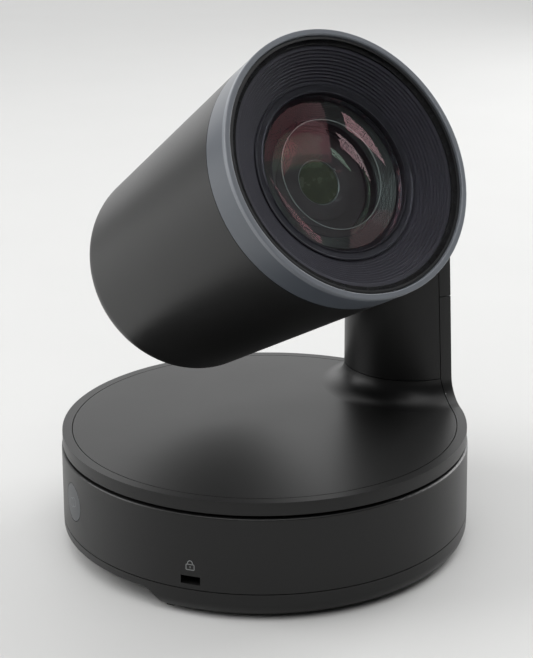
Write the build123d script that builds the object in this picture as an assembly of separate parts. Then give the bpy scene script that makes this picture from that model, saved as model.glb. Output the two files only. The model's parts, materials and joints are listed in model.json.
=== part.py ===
from build123d import *
import math
import os

# A motorised pan and tilt conference camera. Millimetres, +Z up. The pan axis is Z, the origin is
# the mouth of the tripod thread in the underside, and the lens looks towards -Y.

# Overall
BASE_RADIUS = 76.0  # of the drum at its lower seam
DRUM_TAPER = 0.5  # that the drum narrows up to its top
RIM_STEP = 0.4  # from the drum's top in to the turning turret's edge
PIVOT_Z = 117.65  # height of the tilt axis, which runs along X
HEAD_GAP = 4.9  # between the head and the arm
REST_TILT = 29.8  # degrees that the lens looks up at rest
REAR_BEARING = 170.0  # degrees about Z from +X to the side with the sockets
WALL = 2.2  # of every moulded shell

# Clearances
SPIGOT_GAP = 0.1  # between the bottom shell's spigot and the drum, radially
SEAM = 0.3  # shadow gap between two shells that don't move on each other
RUNNING = 0.05  # a shaft in its hole, radially
LOOSE = 0.4  # moving pieces that only pass each other

# Base heights
FOOT_HEIGHT = 1.0
FLOOR_TOP_Z = 3.5
LOWER_SEAM_Z = 10.0
DRUM_TOP_Z = 37.4
DRUM_LIP = 20.0  # that the drum's top reaches inwards
BASE_EDGE_FILLET = 5.0

# Cable bay in the rear of the base
BAY_HALF_WIDTH = 44.7
BAY_DEPTH = 26.0  # from the drum's outside to the wall with the sockets
BAY_MOUTH_Z = 7.3
BAY_CORNER_RADIUS = 5.5
BAY_CEILING_Z = 14.0
BAY_WALL = 2.0
JACK_RADIUS = 3.5
JACK_BORE_RADIUS = 2.8
JACK_Y = -19.0
JACK_Z = 10.3

# Feet and tripod thread
FOOT_INSET = 14.0
FOOT_WIDTH = 6.0
FOOT_HALF_ANGLE = 20.0
FOOT_SEAT = 0.6  # depth that a foot sits in the shell
THREAD_MINOR_RADIUS = 2.6  # tapped hole of a quarter inch, 20 threads an inch, tripod screw
THREAD_DEPTH = 9.0
INSERT_RADIUS = 6.0
INSERT_BOSS_RADIUS = 9.0

# Security slot and pairing button
SLOT_BEARING = -144.2
SLOT_Z = 13.6
SLOT_WIDTH = 7.0
SLOT_HEIGHT = 3.0
BUTTON_BEARING = 170.2
BUTTON_Z = 24.3
BUTTON_RADIUS = 6.9
BUTTON_FLANGE = 1.3
BUTTON_TRAVEL = 0.8
BUTTON_CAP_DEPTH = 3.4
BUTTON_GAP = 0.2

# Base chassis, pan bearing and pan drive
FRAME_Z = 28.5
FRAME_THICKNESS = 3.0
FRAME_INSET = 10.0
POST_RADIUS = 4.0
POST_INSET = 17.0
POST_BEARINGS = (REAR_BEARING - 62.0, REAR_BEARING + 62.0, REAR_BEARING + 120.0, REAR_BEARING - 120.0)
SCREW_INSET = 10.5
BASE_SCREW_BEARINGS = [REAR_BEARING + side for side in (98, -98, 145, -145)]
BOSS_RADIUS = 3.4
SCREW_HEAD_HOLE_RADIUS = 2.8
SCREW_HOLE_RADIUS = 1.5
THREAD_CORE_RADIUS = 1.0
RECESS_DEPTH = 0.6  # of the drive recess in a screw's head
SPIGOT_HEIGHT = 2.0
BEARING_BORE_RADIUS = 12.5
BEARING_OUTER_RADIUS = 18.5
BEARING_WIDTH = 7.0
BALL_RADIUS = 1.75
BALL_COUNT = 18
SPINDLE_BORE_RADIUS = 9.0
SPINDLE_FLANGE_RADIUS = 21.0
COLLAR_WALL = 2.0
GEAR_MODULE = 0.8
GEAR_BACKLASH = 0.2
PRESSURE_ANGLE = 20.0
PAN_GEAR_TEETH = 80
PAN_PINION_TEETH = 16
PAN_GEAR_WIDTH = 4.2
PAN_MOTOR_RADIUS = 17.5
PAN_MOTOR_HEIGHT = 16.0
PAN_MOTOR_BEARING = 30.0
PAN_SHAFT_RADIUS = 1.5

# Turret
TURRET_LOW_Z = 38.6
RIM_Z = 42.4  # height of the edge of the rim
DISC_TOP_Z = 43.2
RIM_WIDTH = 3.7
ARM_INSET = 6.1  # from the rim in to the axis of the arm's round inner face
ARM_RADIUS = 24.9
SWEEP_RADIUS = 9.0  # the hollow curve from the disc up to the arm
ARM_LEAN = 3.0  # degrees that the arm's outer face leans inwards
ARM_STRIP = 5.0  # of the outer shell, shown beside the arm's inner cover
CAP_SEAM_Z = 85.0
TURRET_PLATE_THICKNESS = 1.6
TURRET_PLATE_Z = 38.8
TURRET_PLATE_INSET = 5.1

# Tilt drive, placed along X: insets are from the axis of the arm's round face
HUB_RADIUS = 13.0
HUB_CUP_RADIUS = 11.3
HUB_REACH = 6.15  # that the hub reaches into the head's shell
TILT_SHAFT_RADIUS = 7.0
TILT_SHAFT_BORE_RADIUS = 4.5
TILT_BOSS_RADIUS = 10.5
TILT_BUSH_WALL = 2.0
BRACKET_INSET = 10.5
BRACKET_THICKNESS = 2.0
BRACKET_HALF_WIDTH = 15.0
TILT_BOSS_INSET = 19.8
TILT_GEAR_TEETH = 40
TILT_PINION_TEETH = 14
TILT_GEAR_INSET = 7.5
TILT_GEAR_WIDTH = 4.0
TILT_MOTOR_RADIUS = 8.0
TILT_MOTOR_LENGTH = 10.5
TILT_MOTOR_SHAFT_RADIUS = 1.0

# Head, measured along the lens axis from the tilt axis
HEAD_BACK = -57.2
HEAD_FRONT = 68.0
HEAD_FRONT_RADIUS = 45.65
HEAD_TAPER = 5.45  # that the head narrows from its front to its back, on the radius
HEAD_BACK_FILLET = 10.8
HEAD_BACK_DOME = 0.9
BAND_BACK = 54.8
BAND_TAPER = 0.55
LIP_DEPTH = 1.8
LIP_WIDTH = 1.95
WINDOW_SETBACK = 0.9
WINDOW_THICKNESS = 1.2
BAFFLE_FLANGE = 6.05  # flat ring between the lip's outside and the cone
BAFFLE_GAP = 0.4  # between the cone and the lens barrel, on the radius
BAFFLE_DEPTH = 6.3
BAFFLE_WALL = 1.5
BAFFLE_STEPS = 9
BARREL_RADIUS = 30.0
BARREL_WALL = 2.8
BARREL_BACK = -24.0
RETAINER_THICKNESS = 2.0
RETAINER_LIP = 1.6
FRONT_DOME_RISE = 4.0
FRONT_BOWL_INSET = 0.7  # that the hollow in the front lens's back is smaller than the inner lens
FRONT_BOWL_DEPTH = 3.4
LENS_GAP = 0.02  # a lens in its cell, radially
GUIDE_ROD_RADIUS = 1.25
GUIDE_ROD_INSET = 3.0
CELL_BACK = 44.0
CELL_FRONT = 52.0
CELL_WALL = 7.7
ZOOM_BACK = 22.0
ZOOM_LENGTH = 9.0
ZOOM_INSET = 3.2  # from the circle of the guide rods
ZOOM_CELL_WALL = 5.0
FOCUS_BACK = -10.0
FOCUS_LENGTH = 6.0
FOCUS_INSET = 5.2
FOCUS_CELL_WALL = 8.0
IRIS_BACK = 2.0
IRIS_THICKNESS = 3.0
IRIS_HOLE_RADIUS = 9.0
CHASSIS_WALL = 3.0
CHASSIS_FRONT = 28.0
BOARD_THICKNESS = 1.6
BOARD_Z = 5.0  # underside of the main board
CHIP_HEIGHT = 1.2
MAIN_CHIPS = [((18, 28), (-12, -2)), ((20, 31), (4, 15)), ((15, 19), (-28, -16)), ((14, 17), (18, 29))]
USB_ACROSS = (-4.45, 4.45)
USB_HEIGHTS = (7.5, 10.7)
VIDEO_ACROSS = (11.5, 26.5)
VIDEO_HEIGHTS = (7.0, 12.5)
SOCKET_DEPTH = 12.0
SOCKET_GAP = 0.1  # round a socket in the bay's wall
PROCESSOR_BOARD = -39.0
HEAT_SINK_DEPTH = 9.0
HEAT_SINK_FINS = 9

# Sizes that follow from those above
DRUM_TOP_RADIUS = BASE_RADIUS - DRUM_TAPER
RIM_RADIUS = DRUM_TOP_RADIUS - RIM_STEP
DRUM_LIP_INNER_RADIUS = BASE_RADIUS - DRUM_LIP
BAY_DEPTH_RADIUS = BASE_RADIUS - BAY_DEPTH
FOOT_RADIUS = BASE_RADIUS - FOOT_INSET
FRAME_RADIUS = BASE_RADIUS - FRAME_INSET
POST_CIRCLE = BASE_RADIUS - POST_INSET
SCREW_CIRCLE = BASE_RADIUS - SCREW_INSET
ARM_X = RIM_RADIUS - ARM_INSET
TURRET_PLATE_RADIUS = RIM_RADIUS - TURRET_PLATE_INSET
HEAD_BACK_RADIUS = HEAD_FRONT_RADIUS - HEAD_TAPER
BAND_BACK_RADIUS = HEAD_FRONT_RADIUS - BAND_TAPER
HEAD_X = ARM_X - ARM_RADIUS - HEAD_GAP - HEAD_FRONT_RADIUS
HUB_INNER_X = HEAD_X + HEAD_BACK_RADIUS - HUB_REACH
BRACKET_X = ARM_X - BRACKET_INSET
TILT_BOSS_X = ARM_X - TILT_BOSS_INSET
TILT_GEAR_X = ARM_X - TILT_GEAR_INSET
BAFFLE_OUTER_RADIUS = HEAD_FRONT_RADIUS - BAFFLE_FLANGE
BAFFLE_INNER_RADIUS = BARREL_RADIUS + BAFFLE_GAP
BARREL_BORE_RADIUS = BARREL_RADIUS - BARREL_WALL
RETAINER_INNER_RADIUS = BARREL_BORE_RADIUS - RETAINER_LIP
GUIDE_ROD_CIRCLE = BARREL_BORE_RADIUS - GUIDE_ROD_INSET
CELL_LENS_RADIUS = BARREL_BORE_RADIUS - CELL_WALL
FRONT_BOWL_RADIUS = CELL_LENS_RADIUS - FRONT_BOWL_INSET
ZOOM_RADIUS = GUIDE_ROD_CIRCLE - ZOOM_INSET
ZOOM_LENS_RADIUS = ZOOM_RADIUS - ZOOM_CELL_WALL
FOCUS_RADIUS = GUIDE_ROD_CIRCLE - FOCUS_INSET
FOCUS_LENS_RADIUS = FOCUS_RADIUS - FOCUS_CELL_WALL
BOARD_TOP_Z = BOARD_Z + BOARD_THICKNESS
CEILING_Z = 160.0  # above every piece of the turret
FRAME_TOP_Z = FRAME_Z + FRAME_THICKNESS
GEAR_Z = FRAME_TOP_Z + 1.2
GEAR_TOP_Z = GEAR_Z + PAN_GEAR_WIDTH
BEARING_Z = FRAME_TOP_Z - BEARING_WIDTH
SWEEP_TOP_Z = DISC_TOP_Z + SWEEP_RADIUS
WINDOW_FRONT = HEAD_FRONT - WINDOW_SETBACK
WINDOW_BACK = WINDOW_FRONT - WINDOW_THICKNESS
BAND_FRONT = HEAD_FRONT - LIP_DEPTH
LIP_INNER_RADIUS = HEAD_FRONT_RADIUS - LIP_WIDTH
BAND_INNER_RADIUS = LIP_INNER_RADIUS - 0.2
BAFFLE_FRONT = WINDOW_BACK - 0.8
BARREL_FRONT = BAFFLE_FRONT - BAFFLE_DEPTH - BAFFLE_WALL
TILT_PINION_Z = PIVOT_Z - GEAR_MODULE * (TILT_GEAR_TEETH + TILT_PINION_TEETH) / 2
TILT_MOTOR_X = BRACKET_X - TILT_MOTOR_LENGTH

HEAD_PLANE = Plane(
    origin=(HEAD_X, 0, PIVOT_Z),
    x_dir=(1, 0, 0),
    z_dir=(0, -math.cos(math.radians(REST_TILT)), math.sin(math.radians(REST_TILT))),
)


def polar(radius, bearing):
    """X and Y of a point at this distance and bearing from the pan axis."""
    angle = math.radians(bearing)
    return radius * math.cos(angle), radius * math.sin(angle)


def rod(radius, low, high, at=(0, 0)):
    return Pos(at[0], at[1], (low + high) / 2) * Cylinder(radius, high - low)


def tube(outer, inner, low, high, at=(0, 0)):
    return rod(outer, low, high, at) - rod(inner, low - 1, high + 1, at)


def block(x, y, z):
    """A box from three (low, high) pairs."""
    size = [pair[1] - pair[0] for pair in (x, y, z)]
    middle = [(pair[1] + pair[0]) / 2 for pair in (x, y, z)]
    return Pos(*middle) * Box(*size)


def turned(*points):
    """A solid of revolution about Z through (radius, height) points."""
    outline = Polyline(*points, close=True)
    return revolve(Plane.XZ * make_face(outline), Axis.Z)


def turned_edges(*edges):
    """The same, from edges drawn as (radius, height)."""
    return revolve(Plane.XZ * make_face(Curve() + list(edges)), Axis.Z)


def along_x(shape, z, y=0.0):
    """Lays a shape made about Z along X, so that its height becomes its X."""
    return Pos(0, y, z) * Rot(0, 90, 0) * shape


def in_head(shape):
    """Places a shape made about the lens axis, with the tilt axis at height 0."""
    return HEAD_PLANE.location * shape


def at_bearing(shape, bearing):
    """Turns a shape made on the +X side of the pan axis to a bearing."""
    return Rot(0, 0, bearing) * shape


def involute_turn(radius, base_radius):
    """How far round, in radians, an involute of the base circle has gone at this radius."""
    return math.sqrt((radius / base_radius) ** 2 - 1) - math.acos(base_radius / radius)


def turned_point(radius, angle):
    return (radius * math.cos(angle), radius * math.sin(angle))


def gear(teeth, width, bore):
    """An involute spur gear about Z with a tooth on +X, from height 0 to width."""
    pitch = GEAR_MODULE * teeth / 2
    root = pitch - 1.25 * GEAR_MODULE
    tip = pitch + GEAR_MODULE
    base = pitch * math.cos(math.radians(PRESSURE_ANGLE))
    start = max(base, root)
    half_tooth = (math.pi * GEAR_MODULE / 2 - GEAR_BACKLASH) / 2 / pitch + involute_turn(pitch, base)
    flank = []
    for step in range(4):
        radius = start + (tip - start) * step / 3
        flank.append((radius, half_tooth - involute_turn(radius, base)))
    spacing = 2 * math.pi / teeth
    lower = [turned_point(radius, -angle) for radius, angle in flank]
    upper = [turned_point(radius, angle) for radius, angle in flank]
    root_low = turned_point(root * 0.985, -flank[0][1])
    root_high = turned_point(root * 0.985, flank[0][1])
    outline = Curve() + [
        Line(root_low, lower[0]),
        Spline(*lower),
        ThreePointArc(lower[-1], (tip, 0), upper[-1]),
        Spline(*reversed(upper)),
        Line(upper[0], root_high),
        Line(root_high, root_low),
    ]
    one = extrude(make_face(outline), width)
    body = rod(root, 0, width)
    wheel = body + [Rot(0, 0, math.degrees(spacing) * index) * one for index in range(teeth)]
    return wheel - rod(bore, -1, width + 1)


def screws(places, head_radius, shank_radius, head_z, shank_z, head_height):
    """Pan head screws on vertical axes: the head from head_z, the shank on to shank_z."""
    up = 1 if shank_z > head_z else -1
    made = []
    for place in places:
        head_end = head_z + up * head_height
        head = rod(head_radius, min(head_z, head_end), max(head_z, head_end), place)
        shank = rod(shank_radius, min(head_end, shank_z), max(head_end, shank_z), place)
        recess_end = head_z + up * RECESS_DEPTH
        recess = rod(head_radius * 0.45, min(head_z, recess_end), max(head_z, recess_end), place)
        made.append(head + shank - recess)
    return Compound(children=made)


# ---------------------------------------------------------------- base


def bay_room(grow):
    """The space of the cable bay, made on the +X side and open at the drum's outside."""
    half = BAY_HALF_WIDTH + grow
    room = block((BAY_DEPTH_RADIUS - grow, 90), (-half, half), (-1, BAY_CEILING_Z + grow))
    return room & rod(BASE_RADIUS - WALL - 0.6, -1, BAY_CEILING_Z + grow)


def bay_mouth():
    """The opening that the bay leaves in the side of the bottom shell."""
    mouth = block((BAY_DEPTH_RADIUS, 90), (-BAY_HALF_WIDTH, BAY_HALF_WIDTH), (-10, BAY_MOUTH_Z))
    corners = mouth.edges().filter_by(Axis.X).group_by(Axis.Z)[-1]
    return fillet(corners, BAY_CORNER_RADIUS)


def widened(span, margin):
    return (span[0] - margin, span[1] + margin)


def socket_cuts():
    """Holes in the bay's inner wall for the three sockets, made on the +X side."""
    deep = (BAY_DEPTH_RADIUS - BAY_WALL - 1, BAY_DEPTH_RADIUS + 1)
    usb = block(deep, widened(USB_ACROSS, SOCKET_GAP), widened(USB_HEIGHTS, SOCKET_GAP))
    video = block(deep, widened(VIDEO_ACROSS, SOCKET_GAP), widened(VIDEO_HEIGHTS, SOCKET_GAP))
    power = along_x(rod(JACK_RADIUS + 0.1, *deep), JACK_Z, JACK_Y)
    return [usb, video, power]


def bottom_shell():
    curve = BASE_EDGE_FILLET
    outer = turned_edges(
        Line((0, FOOT_HEIGHT), (BASE_RADIUS - curve, FOOT_HEIGHT)),
        RadiusArc(
            (BASE_RADIUS - curve, FOOT_HEIGHT), (BASE_RADIUS, FOOT_HEIGHT + curve), -curve
        ),
        Line((BASE_RADIUS, FOOT_HEIGHT + curve), (BASE_RADIUS, LOWER_SEAM_Z)),
        Line((BASE_RADIUS, LOWER_SEAM_Z), (0, LOWER_SEAM_Z)),
        Line((0, LOWER_SEAM_Z), (0, FOOT_HEIGHT)),
    )
    inner = fillet(
        rod(BASE_RADIUS - WALL, FLOOR_TOP_Z, LOWER_SEAM_Z + 1).edges().group_by(Axis.Z)[0],
        BASE_EDGE_FILLET - WALL,
    )
    shell = outer - inner
    spigot_bore = BASE_RADIUS - 2 * WALL
    shell += tube(BASE_RADIUS - WALL, spigot_bore, FLOOR_TOP_Z + 3, LOWER_SEAM_Z)
    spigot_radius = BASE_RADIUS - WALL - SPIGOT_GAP
    shell += tube(spigot_radius, spigot_bore, LOWER_SEAM_Z, LOWER_SEAM_Z + SPIGOT_HEIGHT)
    walls = at_bearing(bay_room(BAY_WALL) - bay_room(0), REAR_BEARING)
    shell += walls & rod(BASE_RADIUS - 1, FOOT_HEIGHT, BAY_CEILING_Z + BAY_WALL)
    shell -= at_bearing(bay_room(0), REAR_BEARING)
    shell -= at_bearing(bay_mouth(), REAR_BEARING)
    shell -= [at_bearing(cut, REAR_BEARING) for cut in socket_cuts()]
    shell += rod(INSERT_BOSS_RADIUS, FLOOR_TOP_Z, THREAD_DEPTH + 1)
    shell -= rod(INSERT_RADIUS, -1, THREAD_DEPTH)
    for place in post_places():
        shell += rod(POST_RADIUS, FLOOR_TOP_Z, FRAME_Z, place)
        shell -= rod(THREAD_CORE_RADIUS, FRAME_Z - 9, FRAME_Z + 1, place)
    for foot in foot_bearings():
        shell -= foot_pad(foot, FOOT_HEIGHT, FOOT_HEIGHT + FOOT_SEAT)
    for place in base_screw_places():
        shell += rod(BOSS_RADIUS, FLOOR_TOP_Z - 0.5, LOWER_SEAM_Z + 0.5, place)
        shell -= rod(SCREW_HEAD_HOLE_RADIUS, 0, FOOT_HEIGHT + 1.9, place)
        shell -= rod(SCREW_HOLE_RADIUS, 0, LOWER_SEAM_Z + 1, place)
    return shell


def post_places():
    return [polar(POST_CIRCLE, bearing) for bearing in POST_BEARINGS]


def base_screw_places():
    return [polar(SCREW_CIRCLE, bearing) for bearing in BASE_SCREW_BEARINGS]


def foot_bearings():
    return [REAR_BEARING + 180, REAR_BEARING + 62, REAR_BEARING - 62]


def foot_pad(bearing, low, high):
    """A pad curved round the pan axis, with round ends."""
    wedge = tube(FOOT_RADIUS + FOOT_WIDTH / 2, FOOT_RADIUS - FOOT_WIDTH / 2, low, high)
    reach = 2 * FOOT_RADIUS
    slope = math.tan(math.radians(FOOT_HALF_ANGLE))
    sector = Polyline((0, 0), (reach, -reach * slope), (reach, reach * slope), close=True)
    pad = wedge & (Pos(0, 0, low - 1) * extrude(make_face(sector), high - low + 2))
    for side in (-FOOT_HALF_ANGLE, FOOT_HALF_ANGLE):
        pad += rod(FOOT_WIDTH / 2, low, high, polar(FOOT_RADIUS, side))
    return at_bearing(pad, bearing)


def rubber_feet():
    pads = []
    for bearing in foot_bearings():
        pads.append(foot_pad(bearing, 0, FOOT_HEIGHT + FOOT_SEAT))
    return Compound(children=pads)


def tripod_insert():
    insert = rod(INSERT_RADIUS, 0, THREAD_DEPTH)
    insert = chamfer(insert.edges().group_by(Axis.Z)[0], 0.4)
    return insert - rod(THREAD_MINOR_RADIUS, -1, THREAD_DEPTH + 1)


def drum_radius(z):
    share = (z - LOWER_SEAM_Z) / (DRUM_TOP_Z - LOWER_SEAM_Z)
    return BASE_RADIUS + (DRUM_TOP_RADIUS - BASE_RADIUS) * share


def slot_block(depth_low, depth_high, width, height):
    slot_heights = (SLOT_Z - height / 2, SLOT_Z + height / 2)
    slot = block((depth_low, depth_high), (-width / 2, width / 2), slot_heights)
    return at_bearing(slot, SLOT_BEARING)


def drum_wall():
    low = LOWER_SEAM_Z + SEAM
    top_fillet = 0.6
    outer = turned((0, low), (drum_radius(low), low), (DRUM_TOP_RADIUS, DRUM_TOP_Z), (0, DRUM_TOP_Z))
    outer = fillet(outer.edges().group_by(Axis.Z)[-1], top_fillet)
    inner = turned(
        (0, low - 1),
        (BASE_RADIUS - WALL, low - 1),
        (DRUM_TOP_RADIUS - WALL, DRUM_TOP_Z - 2),
        (0, DRUM_TOP_Z - 2),
    )
    wall = outer - inner - rod(DRUM_LIP_INNER_RADIUS, 0, CEILING_Z)
    boss_low = LOWER_SEAM_Z + 0.5 + SEAM
    rib = block((SCREW_CIRCLE + 1, BASE_RADIUS - WALL / 2), (-1, 1), (boss_low + 2, DRUM_TOP_Z - 1))
    for bearing in BASE_SCREW_BEARINGS:
        place = polar(SCREW_CIRCLE, bearing)
        wall += rod(BOSS_RADIUS, boss_low, DRUM_TOP_Z - 1, place)
        wall += at_bearing(rib, bearing)
        wall -= rod(THREAD_CORE_RADIUS, 0, LOWER_SEAM_Z + 11, place)
    wall -= slot_block(BASE_RADIUS - 8, BASE_RADIUS + 4, SLOT_WIDTH, SLOT_HEIGHT)
    hole = along_x(rod(BUTTON_RADIUS + BUTTON_GAP, BASE_RADIUS - 8, BASE_RADIUS + 4), BUTTON_Z)
    return wall - at_bearing(hole, BUTTON_BEARING)


def slot_plate():
    inner = BASE_RADIUS - WALL
    plate = tube(inner - 0.4, inner - 2.0, SLOT_Z - 5, SLOT_Z + 9) & at_bearing(
        block((40, 90), (-6.8, 6.8), (0, 40)), SLOT_BEARING
    )
    plate -= tube(BASE_RADIUS, BASE_RADIUS - 2 * WALL - 0.2, 0, LOWER_SEAM_Z + 2.2)
    return plate - slot_block(40, 90, SLOT_WIDTH, SLOT_HEIGHT)


def pan_motor_place():
    distance = GEAR_MODULE * (PAN_GEAR_TEETH + PAN_PINION_TEETH) / 2
    return polar(distance, PAN_MOTOR_BEARING)


def motor_ear_places():
    x, y = pan_motor_place()
    across = [polar(PAN_MOTOR_RADIUS + 3.5, PAN_MOTOR_BEARING + side) for side in (90, -90)]
    return [(x + step[0], y + step[1]) for step in across]


def base_frame():
    frame = rod(FRAME_RADIUS, FRAME_Z, FRAME_TOP_Z)
    frame += rod(BEARING_OUTER_RADIUS + COLLAR_WALL, BEARING_Z - 1.5, FRAME_TOP_Z)
    frame -= rod(BEARING_OUTER_RADIUS, BEARING_Z, FRAME_TOP_Z + 1)
    frame -= rod(BEARING_OUTER_RADIUS - 1.6, 0, FRAME_TOP_Z + 1)
    frame -= rod(6.0, 0, FRAME_TOP_Z + 1, pan_motor_place())
    for place in post_places():
        frame -= rod(1.3, 0, FRAME_TOP_Z + 1, place)
    for place in motor_ear_places():
        frame -= rod(1.2, 0, FRAME_TOP_Z + 1, place)
    for place in base_screw_places():
        frame -= rod(5.0, 0, FRAME_TOP_Z + 1, place)
    for bearing in (REAR_BEARING - 25, REAR_BEARING + 25, REAR_BEARING + 90, REAR_BEARING - 95):
        frame -= rod(9.0, 0, FRAME_TOP_Z + 1, polar(40, bearing))
    frame -= at_bearing(block((FRAME_RADIUS - 8, 90), (-12, 12), (0, 60)), REAR_BEARING)
    return frame


def frame_screws():
    return screws(post_places(), 2.4, 1.0, FRAME_TOP_Z + 1.0, FRAME_Z - 5, 1.0)


def base_screws():
    return screws(base_screw_places(), 2.4, 1.0, FOOT_HEIGHT + 0.3, LOWER_SEAM_Z + 8, 1.5)


def bearing_grooves():
    middle = (BEARING_BORE_RADIUS + BEARING_OUTER_RADIUS) / 2
    return Pos(0, 0, BEARING_Z + BEARING_WIDTH / 2) * Torus(middle, BALL_RADIUS + RUNNING)


def pan_bearing_outer_race():
    top = BEARING_Z + BEARING_WIDTH
    return tube(BEARING_OUTER_RADIUS, BEARING_OUTER_RADIUS - 2.1, BEARING_Z, top) - bearing_grooves()


def pan_bearing_inner_race():
    top = BEARING_Z + BEARING_WIDTH
    return tube(BEARING_BORE_RADIUS + 2.1, BEARING_BORE_RADIUS, BEARING_Z, top) - bearing_grooves()


def pan_bearing_balls():
    middle = (BEARING_BORE_RADIUS + BEARING_OUTER_RADIUS) / 2
    height = BEARING_Z + BEARING_WIDTH / 2
    balls = []
    for index in range(BALL_COUNT):
        x, y = polar(middle, index * 360 / BALL_COUNT)
        balls.append(Pos(x, y, height) * Sphere(BALL_RADIUS))
    return Compound(children=balls)


def pan_motor():
    place = pan_motor_place()
    can = rod(PAN_MOTOR_RADIUS, FRAME_Z - PAN_MOTOR_HEIGHT, FRAME_Z, place)
    can = fillet(can.edges().group_by(Axis.Z)[0], 1.5)
    ears = extrude(make_face(Rectangle(7, 2 * PAN_MOTOR_RADIUS + 14)), 1.5)
    can += Pos(place[0], place[1], FRAME_Z - 1.5) * Rot(0, 0, PAN_MOTOR_BEARING) * ears
    for ear in motor_ear_places():
        can -= rod(1.2, 0, FRAME_Z + 1, ear)
    boss = rod(5.0, FRAME_Z - 1, FRAME_Z + 1.5, place)
    return can + boss - rod(PAN_SHAFT_RADIUS + RUNNING, FRAME_Z - 12, 60, place)


def pan_pinion():
    """The pinion in one piece with the motor's shaft."""
    x, y = pan_motor_place()
    turn = PAN_MOTOR_BEARING + 180 + 180 / PAN_PINION_TEETH
    wheel = gear(PAN_PINION_TEETH, PAN_GEAR_WIDTH, PAN_SHAFT_RADIUS / 2)
    wheel = Pos(x, y, GEAR_Z) * Rot(0, 0, turn) * wheel
    return wheel + rod(PAN_SHAFT_RADIUS, FRAME_Z - 11.5, GEAR_TOP_Z + 0.4, (x, y))


def main_board():
    board = block((12, BAY_DEPTH_RADIUS - BAY_WALL - 0.2), (-33, 33), (BOARD_Z, BOARD_TOP_Z))
    board = fillet(board.edges().filter_by(Axis.Z), 2.0)
    for chip_x, chip_y in MAIN_CHIPS:
        board += block(chip_x, chip_y, (BOARD_TOP_Z - 0.01, BOARD_TOP_Z + CHIP_HEIGHT))
    for y in (-22, 22):
        board += rod(2.2, FLOOR_TOP_Z, BOARD_Z + 0.01, (32, y))
    return at_bearing(board, REAR_BEARING)


def board_socket(across, heights, wall, tongue_inset):
    """A metal socket that stands on the main board with its mouth in the bay's wall."""
    back = BAY_DEPTH_RADIUS - SOCKET_DEPTH
    mouth = BAY_DEPTH_RADIUS - 0.3
    body = block((back, mouth), across, heights)
    body -= block((back + 1.5, mouth + 1), widened(across, -wall), widened(heights, -wall))
    middle = sum(heights) / 2
    body += block((back + 1, mouth - 1), widened(across, -tongue_inset), (middle - 0.35, middle + 0.35))
    body += block((back + 1, mouth - 4), widened(across, -1.5), (BOARD_TOP_Z, heights[0] + 0.01))
    return at_bearing(body, REAR_BEARING)


def usb_socket():
    return board_socket(USB_ACROSS, USB_HEIGHTS, 0.35, 1.2)


def video_socket():
    return board_socket(VIDEO_ACROSS, VIDEO_HEIGHTS, 0.5, 2.0)


def power_jack():
    mouth = BAY_DEPTH_RADIUS - 0.3
    jack = rod(JACK_RADIUS, mouth - 13.7, mouth) - rod(JACK_BORE_RADIUS, mouth - 11, mouth + 1)
    jack += rod(1.0, mouth - 12, mouth - 2)
    jack = along_x(jack, JACK_Z, JACK_Y)
    foot = block((mouth - 13.5, mouth - 5), (JACK_Y - 3, JACK_Y + 3), (BOARD_TOP_Z, JACK_Z - 2))
    foot -= along_x(rod(JACK_RADIUS - 0.3, 0, 90), JACK_Z, JACK_Y)
    return at_bearing(jack + foot, REAR_BEARING)


def pairing_button():
    back = BASE_RADIUS - BUTTON_CAP_DEPTH
    cap = along_x(rod(BUTTON_RADIUS, back, BASE_RADIUS + 5), BUTTON_Z)
    flange = along_x(rod(BUTTON_RADIUS + BUTTON_FLANGE, back - 1.2, back), BUTTON_Z)
    plunger = along_x(rod(1.5, back - 3.2, back), BUTTON_Z)
    inside = turned((0, 0), (drum_radius(0), 0), (drum_radius(60), 60), (0, 60))
    whole = at_bearing(cap + flange + plunger, BUTTON_BEARING) & inside
    return whole


def button_switch_x():
    return BASE_RADIUS - BUTTON_CAP_DEPTH - 3.2 - BUTTON_TRAVEL - 0.1


def pairing_switch():
    face = button_switch_x()
    body = block((face - 3.5, face), (-3, 3), (BUTTON_Z - 3, BUTTON_Z + 3))
    return at_bearing(body, BUTTON_BEARING)


def button_board():
    face = button_switch_x() - 3.5
    low = BAY_CEILING_Z + BAY_WALL
    board = block((face - BOARD_THICKNESS, face), (-10, 10), (low, BUTTON_Z + 6))
    return at_bearing(board, BUTTON_BEARING)


# -------------------------------------------------------------- turret


def outer_radius(z):
    """Radius of the outer face of the rim and the arm at a height."""
    return RIM_RADIUS - max(0.0, z - RIM_Z) * math.tan(math.radians(ARM_LEAN))


def turret_form(inset, low):
    """The disc, the sweep and the arm as one solid, with every face moved in by inset."""
    top = DISC_TOP_Z - inset
    radius = ARM_RADIUS - inset
    sweep = SWEEP_RADIUS + inset
    reach = 2.5 * RIM_RADIUS
    column = turned_edges(
        Line((0, low), (reach, low)),
        Line((reach, low), (reach, top)),
        Line((reach, top), (radius + sweep, top)),
        RadiusArc((radius + sweep, top), (radius, top + sweep), sweep),
        Line((radius, top + sweep), (radius, CEILING_Z)),
        Line((radius, CEILING_Z), (0, CEILING_Z)),
        Line((0, CEILING_Z), (0, low)),
    )
    envelope = turned(
        (0, low),
        (RIM_RADIUS - inset, low),
        (RIM_RADIUS - inset, RIM_Z),
        (outer_radius(CEILING_Z) - inset, CEILING_Z),
        (0, CEILING_Z),
    )
    side = block((-100, 100), (-100, 100), (low, PIVOT_Z)) + along_x(rod(radius, -100, 100), PIVOT_Z)
    return (Pos(ARM_X, 0, 0) * column) & envelope & side


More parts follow.
